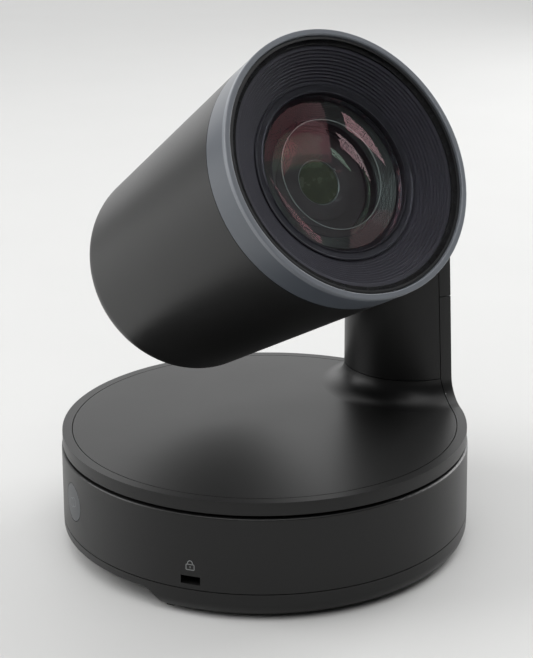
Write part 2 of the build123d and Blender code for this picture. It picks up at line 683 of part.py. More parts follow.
def seam_form(gap):
    """All that lies inside the seam between the turret's covers and its outer shell."""
    strip = outer_radius(SWEEP_TOP_Z) - ARM_STRIP
    top = outer_radius(CEILING_Z) - ARM_STRIP
    rim = RIM_RADIUS - RIM_WIDTH
    return turned(
        (0, 0),
        (rim - gap, 0),
        (rim - gap, DISC_TOP_Z),
        (strip - gap, SWEEP_TOP_Z),
        (top - gap, CEILING_Z + 1),
        (0, CEILING_Z + 1),
    )


def turret_skin():
    return turret_form(0, TURRET_LOW_Z) - turret_form(WALL, TURRET_LOW_Z - 1)


def below(z):
    return block((-100, 100), (-100, 100), (0, z))


def above(z):
    return block((-100, 100), (-100, 100), (z, CEILING_Z + 5))


def turret_shells():
    """The outer shell, its cap, the disc cover and the arm's inner cover."""
    skin = turret_skin()
    outside = skin - seam_form(-SEAM / 2)
    inside = skin & seam_form(SEAM / 2)
    cover = inside & below(SWEEP_TOP_Z - SEAM / 2)
    for place in cover_screw_places():
        cover += rod(3.0, TURRET_PLATE_Z + TURRET_PLATE_THICKNESS, DISC_TOP_Z - 1, place)
        cover -= rod(0.9, 0, DISC_TOP_Z - 0.9, place)
    hub_hole = along_x(rod(HUB_RADIUS + LOOSE, 0, BRACKET_X), PIVOT_Z)
    arm_inner = (inside & above(SWEEP_TOP_Z + SEAM / 2)) - hub_hole
    return {
        "turret_shell": outside & below(CAP_SEAM_Z - SEAM / 2),
        "arm_outer_cap": outside & above(CAP_SEAM_Z + SEAM / 2),
        "turret_cover": cover,
        "arm_inner_cover": arm_inner,
    }


def cover_screw_places():
    return [polar(56, bearing) for bearing in (40, 110, 180, 250, 320)]


def turret_plate():
    top = TURRET_PLATE_Z + TURRET_PLATE_THICKNESS
    plate = rod(TURRET_PLATE_RADIUS, TURRET_PLATE_Z, top) - rod(SPINDLE_BORE_RADIUS, 0, 60)
    for place in cover_screw_places():
        plate -= rod(1.2, 0, 60, place)
    for bearing in range(15, 360, 70):
        plate -= rod(7.0, 0, 60, polar(42, bearing))
    return plate


def turret_screws():
    return screws(cover_screw_places(), 2.0, 0.9, TURRET_PLATE_Z - 0.9, DISC_TOP_Z - 1.0, 0.9)


def pan_spindle():
    bottom = BEARING_Z - 2.6
    spindle = rod(BEARING_BORE_RADIUS, bottom, TURRET_PLATE_Z)
    spindle += rod(SPINDLE_FLANGE_RADIUS, GEAR_TOP_Z, TURRET_PLATE_Z)
    spindle += rod(BEARING_BORE_RADIUS + 1.5, FRAME_TOP_Z, GEAR_Z)
    spindle -= tube(BEARING_BORE_RADIUS + 1, BEARING_BORE_RADIUS - 0.8, BEARING_Z - 1.3, BEARING_Z - 0.1)
    return spindle - rod(SPINDLE_BORE_RADIUS, 0, 60)


def spindle_clip():
    ring = tube(BEARING_BORE_RADIUS + 2.0, BEARING_BORE_RADIUS - 0.8, BEARING_Z - 1.3, BEARING_Z - 0.1)
    return ring - block((0, 30), (-3, 3), (0, 60))


def pan_gear():
    wheel = Rot(0, 0, PAN_MOTOR_BEARING) * gear(PAN_GEAR_TEETH, PAN_GEAR_WIDTH, BEARING_BORE_RADIUS)
    for bearing in range(0, 360, 60):
        wheel -= rod(3.6, -1, 10, polar(24.5, bearing))
    return Pos(0, 0, GEAR_Z) * wheel


def arm_bracket():
    plate_top = TURRET_PLATE_Z + TURRET_PLATE_THICKNESS
    far = BRACKET_X + BRACKET_THICKNESS
    plate = block((BRACKET_X, far), (-BRACKET_HALF_WIDTH, BRACKET_HALF_WIDTH), (plate_top, PIVOT_Z))
    plate += along_x(rod(BRACKET_HALF_WIDTH, BRACKET_X, far), PIVOT_Z)
    across = (-BRACKET_HALF_WIDTH, BRACKET_HALF_WIDTH)
    foot = block((BRACKET_X - 13, far), across, (plate_top, plate_top + 2))
    boss = along_x(rod(TILT_BOSS_RADIUS, TILT_BOSS_X, far), PIVOT_Z)
    bore = along_x(rod(TILT_SHAFT_RADIUS + TILT_BUSH_WALL, 0, 100), PIVOT_Z)
    bracket = plate + foot + boss - bore
    bracket -= along_x(rod(3.0, 0, 100), TILT_PINION_Z)
    bracket -= block((BRACKET_X - 1, far + 1), (-7, 7), (plate_top + 12, TILT_PINION_Z - 14))
    for y in (-9, 9):
        bracket -= rod(1.6, 0, 60, (BRACKET_X - 8, y))
    return bracket


def tilt_bushes():
    outer = TILT_SHAFT_RADIUS + TILT_BUSH_WALL
    inner = TILT_SHAFT_RADIUS + RUNNING
    far = BRACKET_X + BRACKET_THICKNESS
    first = tube(outer, inner, TILT_BOSS_X, TILT_BOSS_X + 4.5)
    second = tube(outer, inner, far - 4.5, far)
    return Compound(children=[along_x(first, PIVOT_Z), along_x(second, PIVOT_Z)])


def tilt_motor():
    can = along_x(rod(TILT_MOTOR_RADIUS, TILT_MOTOR_X, BRACKET_X), TILT_PINION_Z)
    can = fillet(can.edges().group_by(Axis.X)[0], 0.8)
    bore = rod(TILT_MOTOR_SHAFT_RADIUS + RUNNING, TILT_MOTOR_X + 2, 100)
    nose = along_x(rod(2.9, BRACKET_X, BRACKET_X + BRACKET_THICKNESS), TILT_PINION_Z)
    return can + nose - along_x(bore, TILT_PINION_Z)


def gear_about_x(teeth, bore, turn, z):
    """A gear about X with a tooth pointing up, turned on by some degrees."""
    wheel = Pos(0, 0, TILT_GEAR_X) * Rot(0, 0, 180 + turn) * gear(teeth, TILT_GEAR_WIDTH, bore)
    return along_x(wheel, z)


def tilt_pinion():
    """The pinion in one piece with the motor's shaft."""
    turn = 180 / TILT_PINION_TEETH
    wheel = gear_about_x(TILT_PINION_TEETH, TILT_MOTOR_SHAFT_RADIUS / 2, turn, TILT_PINION_Z)
    shaft = rod(TILT_MOTOR_SHAFT_RADIUS, TILT_MOTOR_X + 2.5, TILT_GEAR_X + TILT_GEAR_WIDTH + 0.3)
    return wheel + along_x(shaft, TILT_PINION_Z)


def tilt_gear():
    wheel = gear_about_x(TILT_GEAR_TEETH, TILT_SHAFT_RADIUS, 180, PIVOT_Z)
    for bearing in range(30, 390, 60):
        y, z = polar(11.0, bearing)
        wheel -= along_x(rod(2.4, 0, 100), PIVOT_Z + z, y)
    return wheel


# ---------------------------------------------------------------- head


def shell_radius(s):
    """Outer radius of the tapered head shell at a place along the lens axis."""
    start = HEAD_BACK + HEAD_BACK_FILLET
    share = (s - start) / (BAND_BACK - start)
    return HEAD_BACK_RADIUS + (BAND_BACK_RADIUS - HEAD_BACK_RADIUS) * share


def head_form(inset, front):
    """The outside of the head shell, with a shallow dome and a round edge at the back."""
    corner = HEAD_BACK_FILLET - inset
    back = HEAD_BACK + inset
    edge = HEAD_BACK_RADIUS - HEAD_BACK_FILLET
    side = shell_radius(HEAD_BACK + HEAD_BACK_FILLET) - inset
    middle = math.sqrt(0.5) * corner
    centre_s = HEAD_BACK + HEAD_BACK_FILLET
    return turned_edges(
        ThreePointArc((0, back - HEAD_BACK_DOME), (edge / 2, back - 0.75 * HEAD_BACK_DOME), (edge, back)),
        ThreePointArc((edge, back), (edge + middle, centre_s - middle), (side, centre_s)),
        Line((side, centre_s), (shell_radius(front) - inset, front)),
        Line((shell_radius(front) - inset, front), (0, front)),
        Line((0, front), (0, back - HEAD_BACK_DOME)),
    )


def head_shell():
    front = BAND_BACK - SEAM
    shell = head_form(0, front) - head_form(WALL, front + 5)
    spigot = tube(BAND_INNER_RADIUS - 0.1, BAND_INNER_RADIUS - 1.7, front - 4, front + 3.5)
    joint = turned(
        (BAND_INNER_RADIUS - 1.7, front - 4),
        (shell_radius(front - 4) - WALL + 0.1, front - 4),
        (shell_radius(front) - WALL + 0.1, front),
        (BAND_INNER_RADIUS - 1.7, front),
    )
    hub_hole = rod(HUB_RADIUS + 0.1, 30, 60)
    return in_head(shell + spigot + joint - along_x(hub_hole, 0))


def front_band():
    radius_front = HEAD_FRONT_RADIUS - 0.1
    band = turned(
        (BAND_INNER_RADIUS, BAND_BACK),
        (BAND_BACK_RADIUS, BAND_BACK),
        (radius_front, BAND_FRONT - 0.2),
        (radius_front - 1.0, BAND_FRONT - 0.2),
        (radius_front - 1.0, BAND_FRONT),
        (BAND_INNER_RADIUS, BAND_FRONT),
    )
    return in_head(band)


def front_lip():
    lip = tube(HEAD_FRONT_RADIUS, LIP_INNER_RADIUS, BAND_FRONT, HEAD_FRONT)
    return in_head(fillet(lip.edges().group_by(Axis.Z)[-1], 0.35))


def front_window():
    return in_head(rod(LIP_INNER_RADIUS - 0.3, WINDOW_BACK, WINDOW_FRONT))


def window_gasket():
    return in_head(tube(BAND_INNER_RADIUS - 0.1, BAND_INNER_RADIUS - 2.6, BAFFLE_FRONT, WINDOW_BACK))


def lens_baffle():
    points = [(BAND_INNER_RADIUS - 0.1, BAFFLE_FRONT), (BAFFLE_OUTER_RADIUS, BAFFLE_FRONT)]
    run = (BAFFLE_OUTER_RADIUS - BAFFLE_INNER_RADIUS) / BAFFLE_STEPS
    drop = BAFFLE_DEPTH / BAFFLE_STEPS
    for step in range(BAFFLE_STEPS):
        radius = BAFFLE_OUTER_RADIUS - run * step
        points.append((radius, BAFFLE_FRONT - drop * (step + 1)))
        points.append((radius - run, BAFFLE_FRONT - drop * (step + 1)))
    foot = BAFFLE_FRONT - BAFFLE_DEPTH - BAFFLE_WALL
    points.append((BAFFLE_INNER_RADIUS, foot))
    points.append((BAFFLE_OUTER_RADIUS, BAFFLE_FRONT - BAFFLE_WALL - drop))
    points.append((BAND_INNER_RADIUS - 0.1, BAFFLE_FRONT - BAFFLE_WALL - drop))
    return in_head(turned(*points))


def lens_barrel():
    barrel = tube(BARREL_RADIUS, BARREL_BORE_RADIUS, BARREL_BACK, BARREL_FRONT)
    barrel += tube(BARREL_BORE_RADIUS + 0.5, RETAINER_INNER_RADIUS, CELL_FRONT + 1.5, CELL_FRONT + 3)
    return in_head(barrel)


def front_retainer():
    outer = BAFFLE_INNER_RADIUS - 0.1
    ring = turned(
        (BARREL_BORE_RADIUS, BARREL_FRONT),
        (outer, BARREL_FRONT),
        (outer, BARREL_FRONT + RETAINER_THICKNESS),
        (RETAINER_INNER_RADIUS + 1.2, BARREL_FRONT + RETAINER_THICKNESS),
        (RETAINER_INNER_RADIUS, BARREL_FRONT + 0.6),
        (RETAINER_INNER_RADIUS, BARREL_FRONT - 0.6),
        (BARREL_BORE_RADIUS, BARREL_FRONT - 0.6),
    )
    return in_head(ring)


def cap_ball(radius, foot, bulge):
    """A ball about the lens axis whose cap rises by bulge over this radius at foot."""
    curve = (radius * radius + bulge * bulge) / (2 * bulge)
    return Pos(0, 0, foot + bulge - curve) * Sphere(curve)


def lens(radius, back, front, front_bulge, back_bulge):
    """A round lens whose faces both bulge forwards by these heights at the middle."""
    blank = rod(radius, back, front + front_bulge + 1)
    return (blank & cap_ball(radius, front, front_bulge)) - cap_ball(radius, back, back_bulge)


def front_element():
    back = CELL_FRONT + 3
    front = BARREL_FRONT - 0.6
    dome_radius = RETAINER_INNER_RADIUS - 0.1
    rim = rod(BARREL_BORE_RADIUS - RUNNING, back, front)
    dome = rod(dome_radius, front - 0.5, front + 9) & cap_ball(dome_radius, front, FRONT_DOME_RISE)
    return in_head(rim + dome - cap_ball(FRONT_BOWL_RADIUS, back, FRONT_BOWL_DEPTH))


def rod_places():
    return [(0, GUIDE_ROD_CIRCLE), (0, -GUIDE_ROD_CIRCLE)]


def fixed_lens_cell():
    cell = tube(BARREL_BORE_RADIUS - LENS_GAP, CELL_LENS_RADIUS, CELL_BACK, CELL_FRONT)
    cell += tube(CELL_LENS_RADIUS + 0.5, CELL_LENS_RADIUS - 1.2, CELL_BACK, CELL_BACK + 1.2)
    for place in rod_places():
        cell -= rod(GUIDE_ROD_RADIUS, CELL_BACK - 1, CELL_BACK + 5, place)
    return in_head(cell)


def inner_element():
    return in_head(lens(CELL_LENS_RADIUS - LENS_GAP, CELL_BACK + 1.2, CELL_FRONT - 3, 3.4, 1.0))


def guide_rods():
    rods = []
    for place in rod_places():
        rods.append(in_head(rod(GUIDE_ROD_RADIUS, BARREL_BACK + 0.5, CELL_BACK + 5, place)))
    return Compound(children=rods)


def carrier(radius, bore, back, length):
    """A sleeve with two lugs that run on the guide rods."""
    sleeve = tube(radius, bore, back, back + length)
    for side in (1, -1):
        reach = sorted((side * (radius - 2), side * (GUIDE_ROD_CIRCLE + 2.2)))
        lug = block((-3.2, 3.2), reach, (back, back + length))
        sleeve += lug - rod(radius - 1, back - 1, back + length + 1)
    for place in rod_places():
        sleeve -= rod(GUIDE_ROD_RADIUS + RUNNING, back - 1, back + length + 1, place)
    return sleeve


def zoom_carrier():
    return in_head(carrier(ZOOM_RADIUS, ZOOM_LENS_RADIUS, ZOOM_BACK, ZOOM_LENGTH))


def zoom_lens():
    front = ZOOM_BACK + ZOOM_LENGTH - 2
    return in_head(lens(ZOOM_LENS_RADIUS - LENS_GAP, ZOOM_BACK + 2, front, 1.6, 0.8))


def zoom_coil():
    middle = ZOOM_BACK + ZOOM_LENGTH / 2
    coil = block((ZOOM_RADIUS - 0.6, ZOOM_RADIUS + 3.2), (-5, 5), (middle - 3.5, middle + 3.5))
    coil -= block((0, 40), (-2.2, 2.2), (middle - 1.5, middle + 1.5))
    return in_head(coil - rod(ZOOM_RADIUS, 0, 60))


def magnet_rail():
    rail = block((BARREL_BORE_RADIUS - 2.4, BARREL_BORE_RADIUS + 1), (-4.5, 4.5), (6, CELL_BACK - 1))
    return in_head(rail & rod(BARREL_BORE_RADIUS, 0, 60))


def focus_carrier():
    return in_head(carrier(FOCUS_RADIUS, FOCUS_LENS_RADIUS, FOCUS_BACK, FOCUS_LENGTH))


def focus_lens():
    front = FOCUS_BACK + FOCUS_LENGTH - 2
    return in_head(lens(FOCUS_LENS_RADIUS - LENS_GAP, FOCUS_BACK + 1, front, 1.2, 0.8))


def iris_unit():
    iris = tube(BARREL_BORE_RADIUS - LENS_GAP, IRIS_HOLE_RADIUS, IRIS_BACK, IRIS_BACK + IRIS_THICKNESS)
    for place in rod_places():
        iris -= rod(GUIDE_ROD_RADIUS + 0.2, 0, 20, place)
    return in_head(iris)


def sensor_mount():
    mount = rod(BARREL_RADIUS, BARREL_BACK - 3, BARREL_BACK)
    mount += rod(BARREL_BORE_RADIUS - LENS_GAP, BARREL_BACK - 3, BARREL_BACK + 1.5)
    mount -= block((-6.5, 6.5), (-5, 5), (BARREL_BACK - 4, BARREL_BACK + 3))
    for place in rod_places():
        mount -= rod(GUIDE_ROD_RADIUS, BARREL_BACK + 0.5, BARREL_BACK + 3, place)
    return in_head(mount)


def sensor_board():
    back = BARREL_BACK - 3 - BOARD_THICKNESS
    board = block((-19, 19), (-19, 19), (back, back + BOARD_THICKNESS))
    return in_head(fillet(board.edges().filter_by(Axis.Z), 3.0))


def image_sensor():
    return in_head(block((-6, 6), (-4.5, 4.5), (BARREL_BACK - 3, BARREL_BACK - 1.2)))


def head_chassis():
    ring = tube(BARREL_RADIUS + CHASSIS_WALL, BARREL_RADIUS, BARREL_BACK, CHASSIS_FRONT)
    edge = shell_radius(CHASSIS_FRONT - 2) - WALL - 0.2
    ring += tube(edge, BARREL_RADIUS, CHASSIS_FRONT - 2, CHASSIS_FRONT)
    hole_circle = (edge + BARREL_RADIUS + CHASSIS_WALL) / 2
    for bearing in (45, 135, 225, 315):
        ring -= rod(3.4, CHASSIS_FRONT - 3, CHASSIS_FRONT + 1, polar(hole_circle, bearing))
        post = polar(BARREL_RADIUS + CHASSIS_WALL / 2, bearing)
        ring += rod(CHASSIS_WALL / 2 + 0.6, PROCESSOR_BOARD + BOARD_THICKNESS, BARREL_BACK + 8, post)
    ring -= rod(BARREL_RADIUS, -60, 60)
    hub_start = HUB_INNER_X - HEAD_X
    ring += along_x(rod(HUB_RADIUS - 1, 0, hub_start), 0) - rod(BARREL_RADIUS + 1, -60, 60)
    return in_head(ring)


def tilt_hub():
    end = TILT_BOSS_X + 1.3
    hub = along_x(rod(HUB_RADIUS, HUB_INNER_X, end), PIVOT_Z)
    hub -= along_x(rod(HUB_CUP_RADIUS, TILT_BOSS_X - 1.0, end + 1), PIVOT_Z)
    shaft = along_x(rod(TILT_SHAFT_RADIUS, HUB_INNER_X, TILT_GEAR_X + TILT_GEAR_WIDTH + 0.6), PIVOT_Z)
    return hub + shaft - along_x(rod(TILT_SHAFT_BORE_RADIUS, HUB_INNER_X - 1, 100), PIVOT_Z)


def processor_board():
    return in_head(rod(BARREL_RADIUS + CHASSIS_WALL, PROCESSOR_BOARD, PROCESSOR_BOARD + BOARD_THICKNESS))


def heat_sink():
    plate = block((-21, 21), (-17, 17), (PROCESSOR_BOARD - 2.5, PROCESSOR_BOARD))
    pitch = 34 / (HEAT_SINK_FINS - 1)
    for index in range(HEAT_SINK_FINS):
        y = -17 + 0.6 + index * (pitch - 0.15)
        fin_depth = (PROCESSOR_BOARD - HEAT_SINK_DEPTH, PROCESSOR_BOARD - 2.4)
        plate += block((-21, 21), (y - 0.6, y + 0.6), fin_depth)
    return in_head(plate)


NODES = {
    "bottom_shell": bottom_shell,
    "rubber_feet": rubber_feet,
    "tripod_insert": tripod_insert,
    "drum_wall": drum_wall,
    "slot_plate": slot_plate,
    "base_frame": base_frame,
    "frame_screws": frame_screws,
    "base_screws": base_screws,
    "pan_bearing_outer_race": pan_bearing_outer_race,
    "pan_bearing_balls": pan_bearing_balls,
    "pan_motor": pan_motor,
    "main_board": main_board,
    "usb_socket": usb_socket,
    "video_socket": video_socket,
    "power_jack": power_jack,
    "pairing_switch": pairing_switch,
    "button_board": button_board,
    "pairing_button": pairing_button,
    "pan_pinion": pan_pinion,
    "turret_plate": turret_plate,
    "turret_screws": turret_screws,
    "pan_spindle": pan_spindle,
    "spindle_clip": spindle_clip,
    "pan_bearing_inner_race": pan_bearing_inner_race,
    "pan_gear": pan_gear,
    "arm_bracket": arm_bracket,
    "tilt_bushes": tilt_bushes,
    "tilt_motor": tilt_motor,
    "tilt_pinion": tilt_pinion,
    "tilt_gear": tilt_gear,
    "tilt_hub": tilt_hub,
    "head_shell": head_shell,
    "front_band": front_band,
    "front_lip": front_lip,
    "front_window": front_window,
    "window_gasket": window_gasket,
    "lens_baffle": lens_baffle,
    "front_retainer": front_retainer,
    "front_element": front_element,
    "fixed_lens_cell": fixed_lens_cell,
    "inner_element": inner_element,
    "lens_barrel": lens_barrel,
    "guide_rods": guide_rods,
    "magnet_rail": magnet_rail,
    "iris_unit": iris_unit,
    "sensor_mount": sensor_mount,
    "sensor_board": sensor_board,
    "image_sensor": image_sensor,
    "head_chassis": head_chassis,
    "processor_board": processor_board,
    "heat_sink": heat_sink,
    "zoom_carrier": zoom_carrier,
    "zoom_lens": zoom_lens,
    "zoom_coil": zoom_coil,
    "focus_carrier": focus_carrier,
    "focus_lens": focus_lens,
}


def build_all():
    os.makedirs("parts", exist_ok=True)
    shapes = {name: make() for name, make in NODES.items()}
    shapes.update(turret_shells())
    for name, shape in shapes.items():
        export_step(shape, f"parts/{name}.step")


build_all()
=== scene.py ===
"""Looks of a motorised pan and tilt conference camera, built around its packed mechanical model."""
import json
import math

import bmesh
import bpy
from bpy.props import FloatProperty, FloatVectorProperty, IntProperty, PointerProperty
from mathutils import Matrix, Vector
from mathutils.bvhtree import BVHTree


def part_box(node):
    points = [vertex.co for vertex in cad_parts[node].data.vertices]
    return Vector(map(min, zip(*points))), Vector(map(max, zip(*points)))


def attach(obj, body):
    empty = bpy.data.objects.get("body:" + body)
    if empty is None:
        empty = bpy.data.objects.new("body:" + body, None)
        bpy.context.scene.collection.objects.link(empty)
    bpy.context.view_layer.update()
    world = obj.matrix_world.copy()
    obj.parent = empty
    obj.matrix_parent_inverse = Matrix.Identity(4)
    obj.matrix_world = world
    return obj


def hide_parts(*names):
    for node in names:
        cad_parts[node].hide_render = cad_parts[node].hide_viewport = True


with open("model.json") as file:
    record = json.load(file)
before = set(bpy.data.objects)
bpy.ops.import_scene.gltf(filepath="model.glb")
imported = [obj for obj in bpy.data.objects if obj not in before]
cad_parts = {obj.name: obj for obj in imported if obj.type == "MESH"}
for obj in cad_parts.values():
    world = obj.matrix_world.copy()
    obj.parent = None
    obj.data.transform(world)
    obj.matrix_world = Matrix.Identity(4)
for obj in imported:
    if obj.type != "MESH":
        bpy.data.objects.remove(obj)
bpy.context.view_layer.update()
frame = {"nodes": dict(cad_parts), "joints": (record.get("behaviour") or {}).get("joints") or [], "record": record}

bl_info = {
    "name": "Conference Camera Looks",
    "version": (1, 0, 0),
    "blender": (4, 5, 0),
    "location": "3D View > Sidebar > Camera Looks",
    "description": "Finishes and fine pieces for a pan and tilt conference camera",
    "category": "Object",
}

MM = 0.001
NODES = frame["nodes"]
JOINTS = {joint["name"]: joint for joint in frame["joints"]}
FLOOR_RADIUS = 6.0
CLEAR_OF_BODY = 0.2  # where a ray that comes in from outside the camera starts
INK_SUNK_SHARE = 0.3  # of the ink's thickness, which lies below the surface it is printed on

# The lens frame: X to the arm's side, Y upwards across the lens, Z forwards along the lens axis.
PIVOT = Vector(JOINTS["tilt"]["pos_m"])
LENS_AXIS = Vector(JOINTS["zoom"]["axis"]).normalized()
ACROSS = Vector((1.0, 0.0, 0.0))
ABOVE = LENS_AXIS.cross(ACROSS)
LENS_FRAME = Matrix((
    (ACROSS.x, ABOVE.x, LENS_AXIS.x, PIVOT.x),
    (ACROSS.y, ABOVE.y, LENS_AXIS.y, PIVOT.y),
    (ACROSS.z, ABOVE.z, LENS_AXIS.z, PIVOT.z),
    (0.0, 0.0, 0.0, 1.0),
))


def linear(hex_colour):
    """An sRGB hex colour as linear red, green, blue and an alpha of one."""
    channels = [int(hex_colour[place:place + 2], 16) / 255 for place in (1, 3, 5)]
    curved = [c / 12.92 if c <= 0.04045 else ((c + 0.055) / 1.055) ** 2.4 for c in channels]
    return (*curved, 1.0)


def lens_span(node):
    """Back, front, inner radius and outer radius of a node about the lens axis, in metres."""
    into_lens = LENS_FRAME.inverted()
    places = [into_lens @ vertex.co for vertex in NODES[node].data.vertices]
    heights = [place.z for place in places]
    radii = [math.hypot(place.x, place.y) for place in places]
    return min(heights), max(heights), min(radii), max(radii)


# ---------------------------------------------------------------- settings

def colour_setting(label, description, hex_colour):
    return FloatVectorProperty(name=label, description=description, subtype="COLOR", size=4,
                               min=0.0, max=1.0, default=linear(hex_colour))


def length_setting(label, description, millimetres):
    return FloatProperty(name=label, description=description, unit="LENGTH",
                         min=0.0, default=millimetres * MM, precision=5)


class FinishSettings(bpy.types.PropertyGroup):
    """Colours and grains of the outer surfaces."""
    shell: colour_setting("Shell", "Charcoal of the head and the turret", "#131313")
    drum: colour_setting("Drum", "Charcoal of the standing base", "#151515")
    band: colour_setting("Band", "Blue grey of the band round the front", "#43484f")
    lip: colour_setting("Lip", "Light grey of the front lip", "#686c72")
    inner_black: colour_setting("Inner black", "Black of rings and carriers", "#0b0b0c")
    # The cone is black; its purple tint is a painted reflection of the window's coating.
    cone: colour_setting("Cone", "Purple black of the ridged cone", "#24232a")
    print_ink: colour_setting("Print", "Grey ink of the printed signs", "#767878")
    print_ink_faint: colour_setting("Faint print", "Darker ink of the button's sign", "#6c6e70")
    button: colour_setting("Button", "Grey of the pairing button", "#34373a")
    grain: length_setting("Grain", "Width of a pit of the mouldings' grain", 0.55)


class LensSettings(bpy.types.PropertyGroup):
    """Sizes of the fine pieces in front of and inside the lens."""
    ridges: IntProperty(name="Ridges", description="Ridges of the cone", min=2, default=10)
    cone_mouth: length_setting("Cone mouth", "Radius of the cone's wide end", 39.6)
    cone_wall: length_setting("Cone wall", "Thickness of the cone", 1.4)
    ridge_round: length_setting("Ridge rounding", "Rounding of each ridge's crest", 0.12)
    edge_width: length_setting("Window edge", "Width of the window's ground edge", 1.0)
    edge_rise: length_setting("Window edge's rise", "How far the ground edge stands proud", 0.12)
    threads: IntProperty(name="Threads", description="Grooves inside the barrel", min=2, default=9)
    pupil: length_setting("Pupil", "Radius of the coated disc behind the inner lens", 7.2)
    coating: colour_setting("Coating", "Tint of the front lens's reflection", "#e8707c")
    window_coating: colour_setting("Window coating", "Tint of the window's reflection", "#c6bcd2")


class MarkSettings(bpy.types.PropertyGroup):
    """Sizes of the printed signs."""
    padlock_width: length_setting("Padlock width", "Width of the padlock sign", 2.9)
    padlock_rise: length_setting("Padlock rise", "From the slot's middle to the sign's foot", 3.8)
    stroke: length_setting("Stroke", "Width of a printed line", 0.3)
    link_radius: length_setting("Link radius", "Radius of a ring of the button's sign", 1.7)
    thickness: length_setting("Ink", "Thickness of the ink", 0.07)


class StageSettings(bpy.types.PropertyGroup):
    """Camera, lamps and floor."""
    distance: length_setting("Distance", "From the camera to the point it looks at", 554.46)
    heading: FloatProperty(name="Heading", description="Turn of the camera about the base",
                           unit="ROTATION", default=math.radians(-34.796))
    pitch: FloatProperty(name="Pitch", description="Height of the camera as an angle",
                         unit="ROTATION", default=math.radians(18.277))
    roll: FloatProperty(name="Roll", description="Tip of the camera", unit="ROTATION",
                        default=math.radians(-0.455))
    aim: FloatVectorProperty(name="Aim", description="Point that the camera looks at",
                             subtype="TRANSLATION", default=(0.0008, -0.00056, 0.07835))
    focal_length: FloatProperty(name="Focal length", description="Camera's focal length",
                                unit="CAMERA", default=82.76)
    floor: colour_setting("Floor", "Pale grey of the floor", "#c2c2c1")
    sky: colour_setting("Surroundings", "Grey of the light from all round", "#c8cacb")
    sky_strength: FloatProperty(name="Surroundings' strength", description="Light from all round",
                                min=0.0, default=0.13)


SETTINGS = {
    "camera_finish": FinishSettings,
    "camera_lens": LensSettings,
    "camera_marks": MarkSettings,
    "camera_stage": StageSettings,
}


# ---------------------------------------------------------------- material helpers

def add_node(tree, kind, settings, links=None):
    """Adds a node, sets its sockets or its properties, and links sockets from (node, output)."""
    node = tree.nodes.new(kind)
    for name, value in settings.items():
        if isinstance(name, int) or name in node.inputs:
            node.inputs[name].default_value = value
        else:
            setattr(node, name, value)
    for name, (source, output) in (links or {}).items():
        tree.links.new(source.outputs[output], node.inputs[name])
    return node


def new_surface(name, settings):
    """A material with a Principled shader, whose sockets take the settings."""
    material = bpy.data.materials.get(name) or bpy.data.materials.new(name)
    material.use_nodes = True
    tree = material.node_tree
    tree.nodes.clear()
    shader = add_node(tree, "ShaderNodeBsdfPrincipled", settings)
    add_node(tree, "ShaderNodeOutputMaterial", {}, {"Surface": (shader, "BSDF")})
    place = add_node(tree, "ShaderNodeTexCoord", {})
    return material, tree, shader, place


def vary(tree, shader, place, colour, spread, patch, roughness, uneven):
    """Soft patches of a slightly different shade and gloss, patch metres across."""
    patches = add_node(tree, "ShaderNodeTexNoise", {"Scale": 1 / patch, "Detail": 3.0, "Roughness": 0.55},
                       {"Vector": (place, "Object")})
    shades = add_node(tree, "ShaderNodeValToRGB", {}, {"Fac": (patches, "Fac")})
    shades.color_ramp.elements[0].position = 0.3
    shades.color_ramp.elements[1].position = 0.7
    shades.color_ramp.elements[0].color = (*[c * (1 - spread) for c in colour[:3]], 1.0)
    shades.color_ramp.elements[1].color = (*[c * (1 + spread) for c in colour[:3]], 1.0)
    gloss = add_node(tree, "ShaderNodeMapRange", {
        "To Min": roughness - uneven, "To Max": roughness + uneven,
    }, {"Value": (patches, "Fac")})
    tree.links.new(shades.outputs["Color"], shader.inputs["Base Color"])
    tree.links.new(gloss.outputs["Result"], shader.inputs["Roughness"])


def emboss(tree, shader, height, output, strength, depth):
    """Feeds a height into the shader's normal."""
    bump = add_node(tree, "ShaderNodeBump", {"Strength": strength, "Distance": depth},
                    {"Height": (height, output)})
    tree.links.new(bump.outputs["Normal"], shader.inputs["Normal"])


def finish(material, *names):
    """Puts one material on every slot of the named nodes."""
    for name in names:
        slots = NODES[name].data.materials
        if not slots:
            slots.append(material)
        for place in range(len(slots)):
            slots[place] = material


# ---------------------------------------------------------------- mesh helpers

def rounded(points, radius, cuts=4):
    """A closed outline whose corners are rounded by this radius, or by less where a side is short."""
    result = []
    count = len(points)
    for place, corner in enumerate(points):
        here = Vector(corner)
        before = Vector(points[place - 1]) - here
        after = Vector(points[(place + 1) % count]) - here
        reach = min(radius, before.length * 0.45, after.length * 0.45)
        start = here + before.normalized() * reach
        end = here + after.normalized() * reach
        for cut in range(cuts + 1):
            share = cut / cuts
            towards = start.lerp(here, share).lerp(here.lerp(end, share), share)
            result.append((towards.x, towards.y))
    return result


def turned_mesh(name, outline, turns):
    """A closed outline of (radius, height) turned about Z, with a hole or a point at the axis."""
    shape = bmesh.new()
    rings = []
    for turn in range(turns):
        angle = 2 * math.pi * turn / turns
        rings.append([shape.verts.new((r * math.cos(angle), r * math.sin(angle), h)) for r, h in outline])
    for turn in range(turns):
        here = rings[turn]
        onwards = rings[(turn + 1) % turns]
        for place in range(len(outline)):
            beside = (place + 1) % len(outline)
            shape.faces.new((here[place], here[beside], onwards[beside], onwards[place]))
    bmesh.ops.remove_doubles(shape, verts=shape.verts, dist=MM / 1e4)
    bmesh.ops.recalc_face_normals(shape, faces=shape.faces)
    return closed_mesh(name, shape)


def closed_mesh(name, shape, sharp=35.0):
    """Turns a bmesh into a mesh that is smooth but for edges sharper than this angle."""
    mesh = bpy.data.meshes.new(name)
    shape.to_mesh(mesh)
    shape.free()
    mesh.shade_smooth()
    mesh.set_sharp_from_angle(angle=math.radians(sharp))
    return mesh


